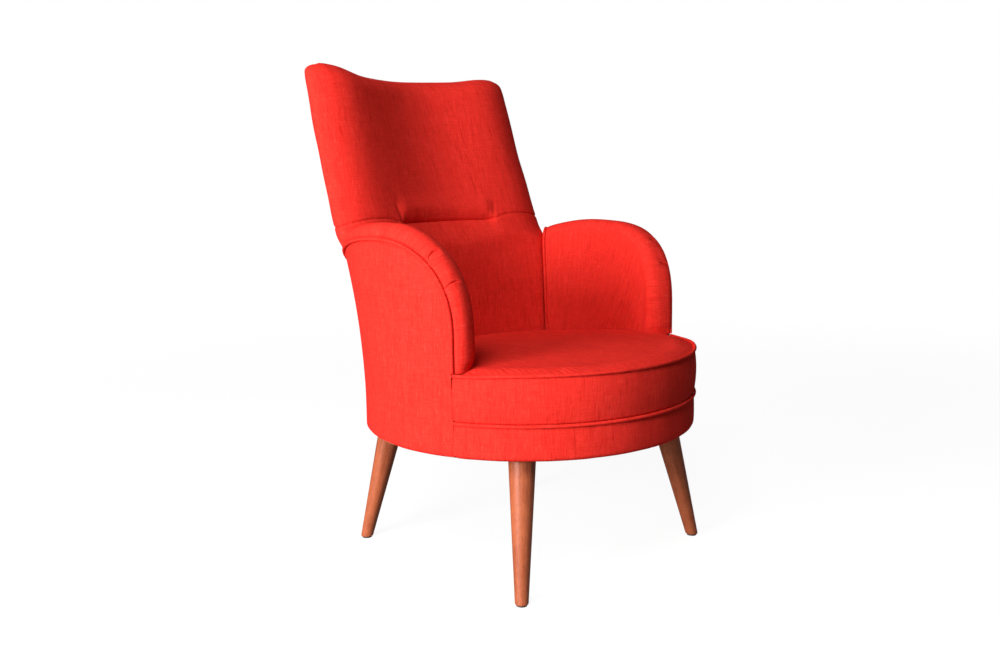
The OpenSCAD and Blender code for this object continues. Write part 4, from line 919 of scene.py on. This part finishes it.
def rear_skin(height, share):
    """Rear face: upright in the drum, then leaning by 17.6 degrees; a row is an arc through three points."""
    h, bend, slope = height - 0.460, 0.300, math.tan(math.radians(17.6))
    leaning = np.where(h < 0, 0, np.where(h < bend, h * h / (2 * bend), h - bend / 2))
    middle = drum_r + drum_y + slope * leaning
    out = seam_emerged(height)
    low = polar(rear_seam_angle + 0.07, tub_r(rear_seam_angle, height), height)
    x = low[..., 0] * (1 - out) + (edge_x(height) + back_edge_r * math.cos(back_seam_arc)) * out
    y = low[..., 1] * (1 - out) + (lean_y(height) + back_edge_r * math.sin(back_seam_arc)) * out
    rise = middle - y
    radius = (x * x + rise * rise) / (2 * rise)
    x = x * share
    return np.stack([x, middle - radius + np.sqrt(radius * radius - x * x), dipped(x, height)], -1)


# Ridge: the rows above round_from_z turn over towards it, and its two ends are drawn in to a corner
round_from_z = back_top_z - back_edge_r
top_a = np.linspace(0, np.pi / 2, 34)[1:, None]
fold = 1 - np.cos(top_a)
corner_in = 1 - np.sqrt(1 - np.clip(2.2 * np.sin(top_a) - 1.2, 0, 1) ** 2)
ridge_end = 0.975 * (edge_x(back_top_z) + back_edge_r * math.cos(back_seam_arc))


def to_ridge(x):
    """Brings x in between the ridge's two ends."""
    return np.clip(x, -ridge_end, ridge_end)


def ridge_y(height, x):
    """Place of the ridge: halfway between the face and the rear face at the same x."""
    end, wide = face_end(height, 0.0), edge_x(height) + back_edge_r * math.cos(back_seam_arc)
    front = end[..., 1] + hollow(height) * hollowed(np.clip(x / end[..., 0], -1, 1), height)
    return (front + rear_skin(height, np.clip(x / wide, -1, 1))[..., 1]) / 2


def rounded(gap, size):
    """Quarter of an ellipse: 1 at a seam, falling to 0 at a distance of size from it."""
    return 1 - np.sqrt(np.clip(1 - (1 - np.clip(gap / size, 0, 1)) ** 2, 0, 1))


low_rows = np.linspace(0, 1, rows)[:, None]
lower_heights = foam_z + (seam_line - pad_gap - foam_z) * (1 - (1 - low_rows) ** 1.5)
upper_heights = seam_line + pad_gap + (round_from_z - seam_line) * low_rows ** 1.3
top_heights = round_from_z + back_edge_r * np.sin(top_a) + 0 * seam_line
end_fade = 1 - ease(0.112, 0.140, face_x)


def back_pad(name, heights, gap, roll, bulge, seed, *nodes):
    """A pad of the back from its rows of heights; gap is the distance above or below the channel's seam,
    and the pad rolls into it over a distance of roll. The upper pad bulges past the roll, is darted at
    the channel's two ends and closes at the ridge."""
    outer = even(back_skin(heights, 0.0, 0.0), 11)
    if len(heights) > rows:
        x, y, z = np.moveaxis(outer[rows:], -1, 0)
        top_x = x + (to_ridge(x) - x) * corner_in
        top_y = y + (ridge_y(heights[rows:], to_ridge(x)) - y) * fold
        outer = np.concatenate([outer[:rows], np.stack([top_x, top_y, z], -1)])
    deep = (0.014 * rounded(gap, roll) - bulge * np.exp(-((gap - 1.1 * roll) / 0.02) ** 2)) * end_fade
    lean_out = face_x - 0.130 - 0.30 * gap
    dart = ((0.0030 + 0.0014 * np.sign(-across_share)) * np.exp(-(lean_out / 0.0042) ** 2)
            * np.clip(1 - gap / 0.046, 0, 1) * ease(0, 0.004, gap + 0.004))
    seam = tuck(gap, 0.006, 0.0022) * (1 - end_fade)
    middle, to_side = across_of(outer)
    inner = back_skin(np.minimum(heights, back_top_z - 0.020), 0.0198, 0.0162)
    soft = (-deep - seam - (dart if bulge else 0) - tuck(to_side, 0.006, 0.0012)
            + pucker(middle, gap, seed, 0.013, 0.0006)
            + 0.0014 * ripple(middle, heights, 0.13, seed + 3) * ease(0, 0.04, gap) * ease(0, 0.03, to_side))
    places = as_points(middle, outer[..., 2] * 1.06)
    pad = shell(name, push(outer, inner, soft), inner, places, coral_cloth)
    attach(pad, "root")
    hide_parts(*nodes)


upper_rows = np.concatenate([upper_heights, top_heights])
back_pad("back_pad_upper", upper_rows, upper_rows - seam_line, 0.026, 0.0045, 81,
         "back_cover_upper", "back_foam_upper")
back_pad("back_pad_lower", lower_heights[::-1], (seam_line - lower_heights)[::-1], 0.046, 0.0, 85,
         "back_cover_lower", "back_foam_lower")


# Joints of the arms and the back. A piping climbs from the seat between them, goes over the arm and
# ends at the arm's outer seam.
joint_points, over_points = 60, 49
for side, word in ((-1, "left"), (1, "right")):
    turn, height, place = arm_seam(joint_top_angle - joint_turn, joint_points)
    end_turn, end_z = turn[-1], height[-1]
    climb = np.linspace(lean_from_z + pipe_r, end_z + crown(side, np.pi, end_turn, end_z), joint_points)
    over = np.radians(np.linspace(180, 14, over_points + 1)[1:])
    depth = arm_wall * (1 - np.cos(over)) / 2
    top = end_z + crown(side, over, end_turn, end_z) - 0.0014 * np.sin(over)
    path = np.concatenate([wall(side, joint_angle(climb), climb, arm_wall),
                           wall(side, end_turn + np.degrees(0.0026 / (drum_r - depth)), top, depth)])
    path = even(path[None], 4)[0]
    angle = np.concatenate([joint_angle(climb), np.full(over_points, end_turn)])
    aim = polar(side * (angle + 90), 1.0, 0.0) - [0, drum_y, 0]
    piping = cord_piece("back_joint_piping_" + word, path, aim, 91 + side)
    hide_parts("joint_piping_" + word)


# Underside. A thin black lining closes the drum from below. It is cut round, stapled to the frame over
# the edges of the covers' hems, and hangs a little in the middle.
fine_weave = plain_weave(0.0009, (0.006, 0.006, 0.007, 1), (0.024, 0.024, 0.027, 1), 0.0002)
lining = finish("black_lining", fine_weave, {"Roughness": 0.9})
lining_r, lining_t, lining_cut, lining_sag = drum_r - 0.0124, 0.0009, 0.6474, 0.0022
arc = np.linspace(-1.555, 1.555, 120)[:, None]
y = lining_r * np.cos(arc) * np.sin(np.linspace(-np.pi / 2, np.pi / 2, 90))[None, :]
x = lining_r * np.sin(arc) + 0 * y
within = 1 - (x * x + y * y) / lining_r ** 2
sag = (lining_sag + lining_sag * ripple(x, y, 0.16, 103)) * np.sqrt(np.maximum(0, within))
outer = np.stack([x, y + drum_y, drum_low_z - sag], -1)
inner = outer + np.array([0, 0, lining_t])
cloth_sheet("underside_sheet", outer, inner, outer[..., :2], [], "dust_cover",
            material=lining, slot="dust_cloth", cut=(lining_cut, lining_cut))


# Outside of the back. One cover from the drum's underside up to the ridge, over the thin backing board,
# sewn down both sides to the back's pads and to the arms' outside panels.
share = np.linspace(-1, 1, 180)[None, :]
around = np.linspace(np.pi / 2, 0, 9)[:-1, None]
hem = rear_skin(np.full((8, 1), hem_z), share)
centre_out = hem - np.array([0, drum_y, hem_z])
flat_out = centre_out / np.linalg.norm(centre_out, axis=-1, keepdims=True)
hem = (hem - flat_out * (turn_r * (1 - np.cos(around)))[..., None]
       - np.array([0, 0, 1]) * (turn_r * np.sin(around))[..., None])
lip = hem[:1] - flat_out[:1] * np.linspace(0.008, 0.002, 4)[:, None, None]
body = rear_skin(np.linspace(hem_z, round_from_z, 200)[:, None], share)
cap_z = round_from_z + back_edge_r * np.sin(top_a)
x, y, z = np.moveaxis(rear_skin(cap_z, share), -1, 0)
cap_x = x + (to_ridge(x) - x) * corner_in
cap = np.stack([cap_x, y + (ridge_y(cap_z, cap_x) - y) * fold, z], -1)
outer = np.concatenate([lip, hem, body, cap])
inner = push(outer, outer - np.array([0, 1, 0]), np.full(outer.shape[:2], -cloth_t))
middle, to_side = across_of(outer)
soft = (pucker(outer[..., 2], to_side, 95, 0.012, 0.0005) - tuck(to_side, 0.006, 0.0012)
        + 0.0012 * ripple(middle, outer[..., 2], 0.15, 97) * ease(0, 0.04, to_side))
cloth_sheet("outside_back_sheet", push(outer, inner, soft), inner, as_points(middle, outer[..., 2] * 1.03),
            ["outside_back_board"], "outside_back_cover")
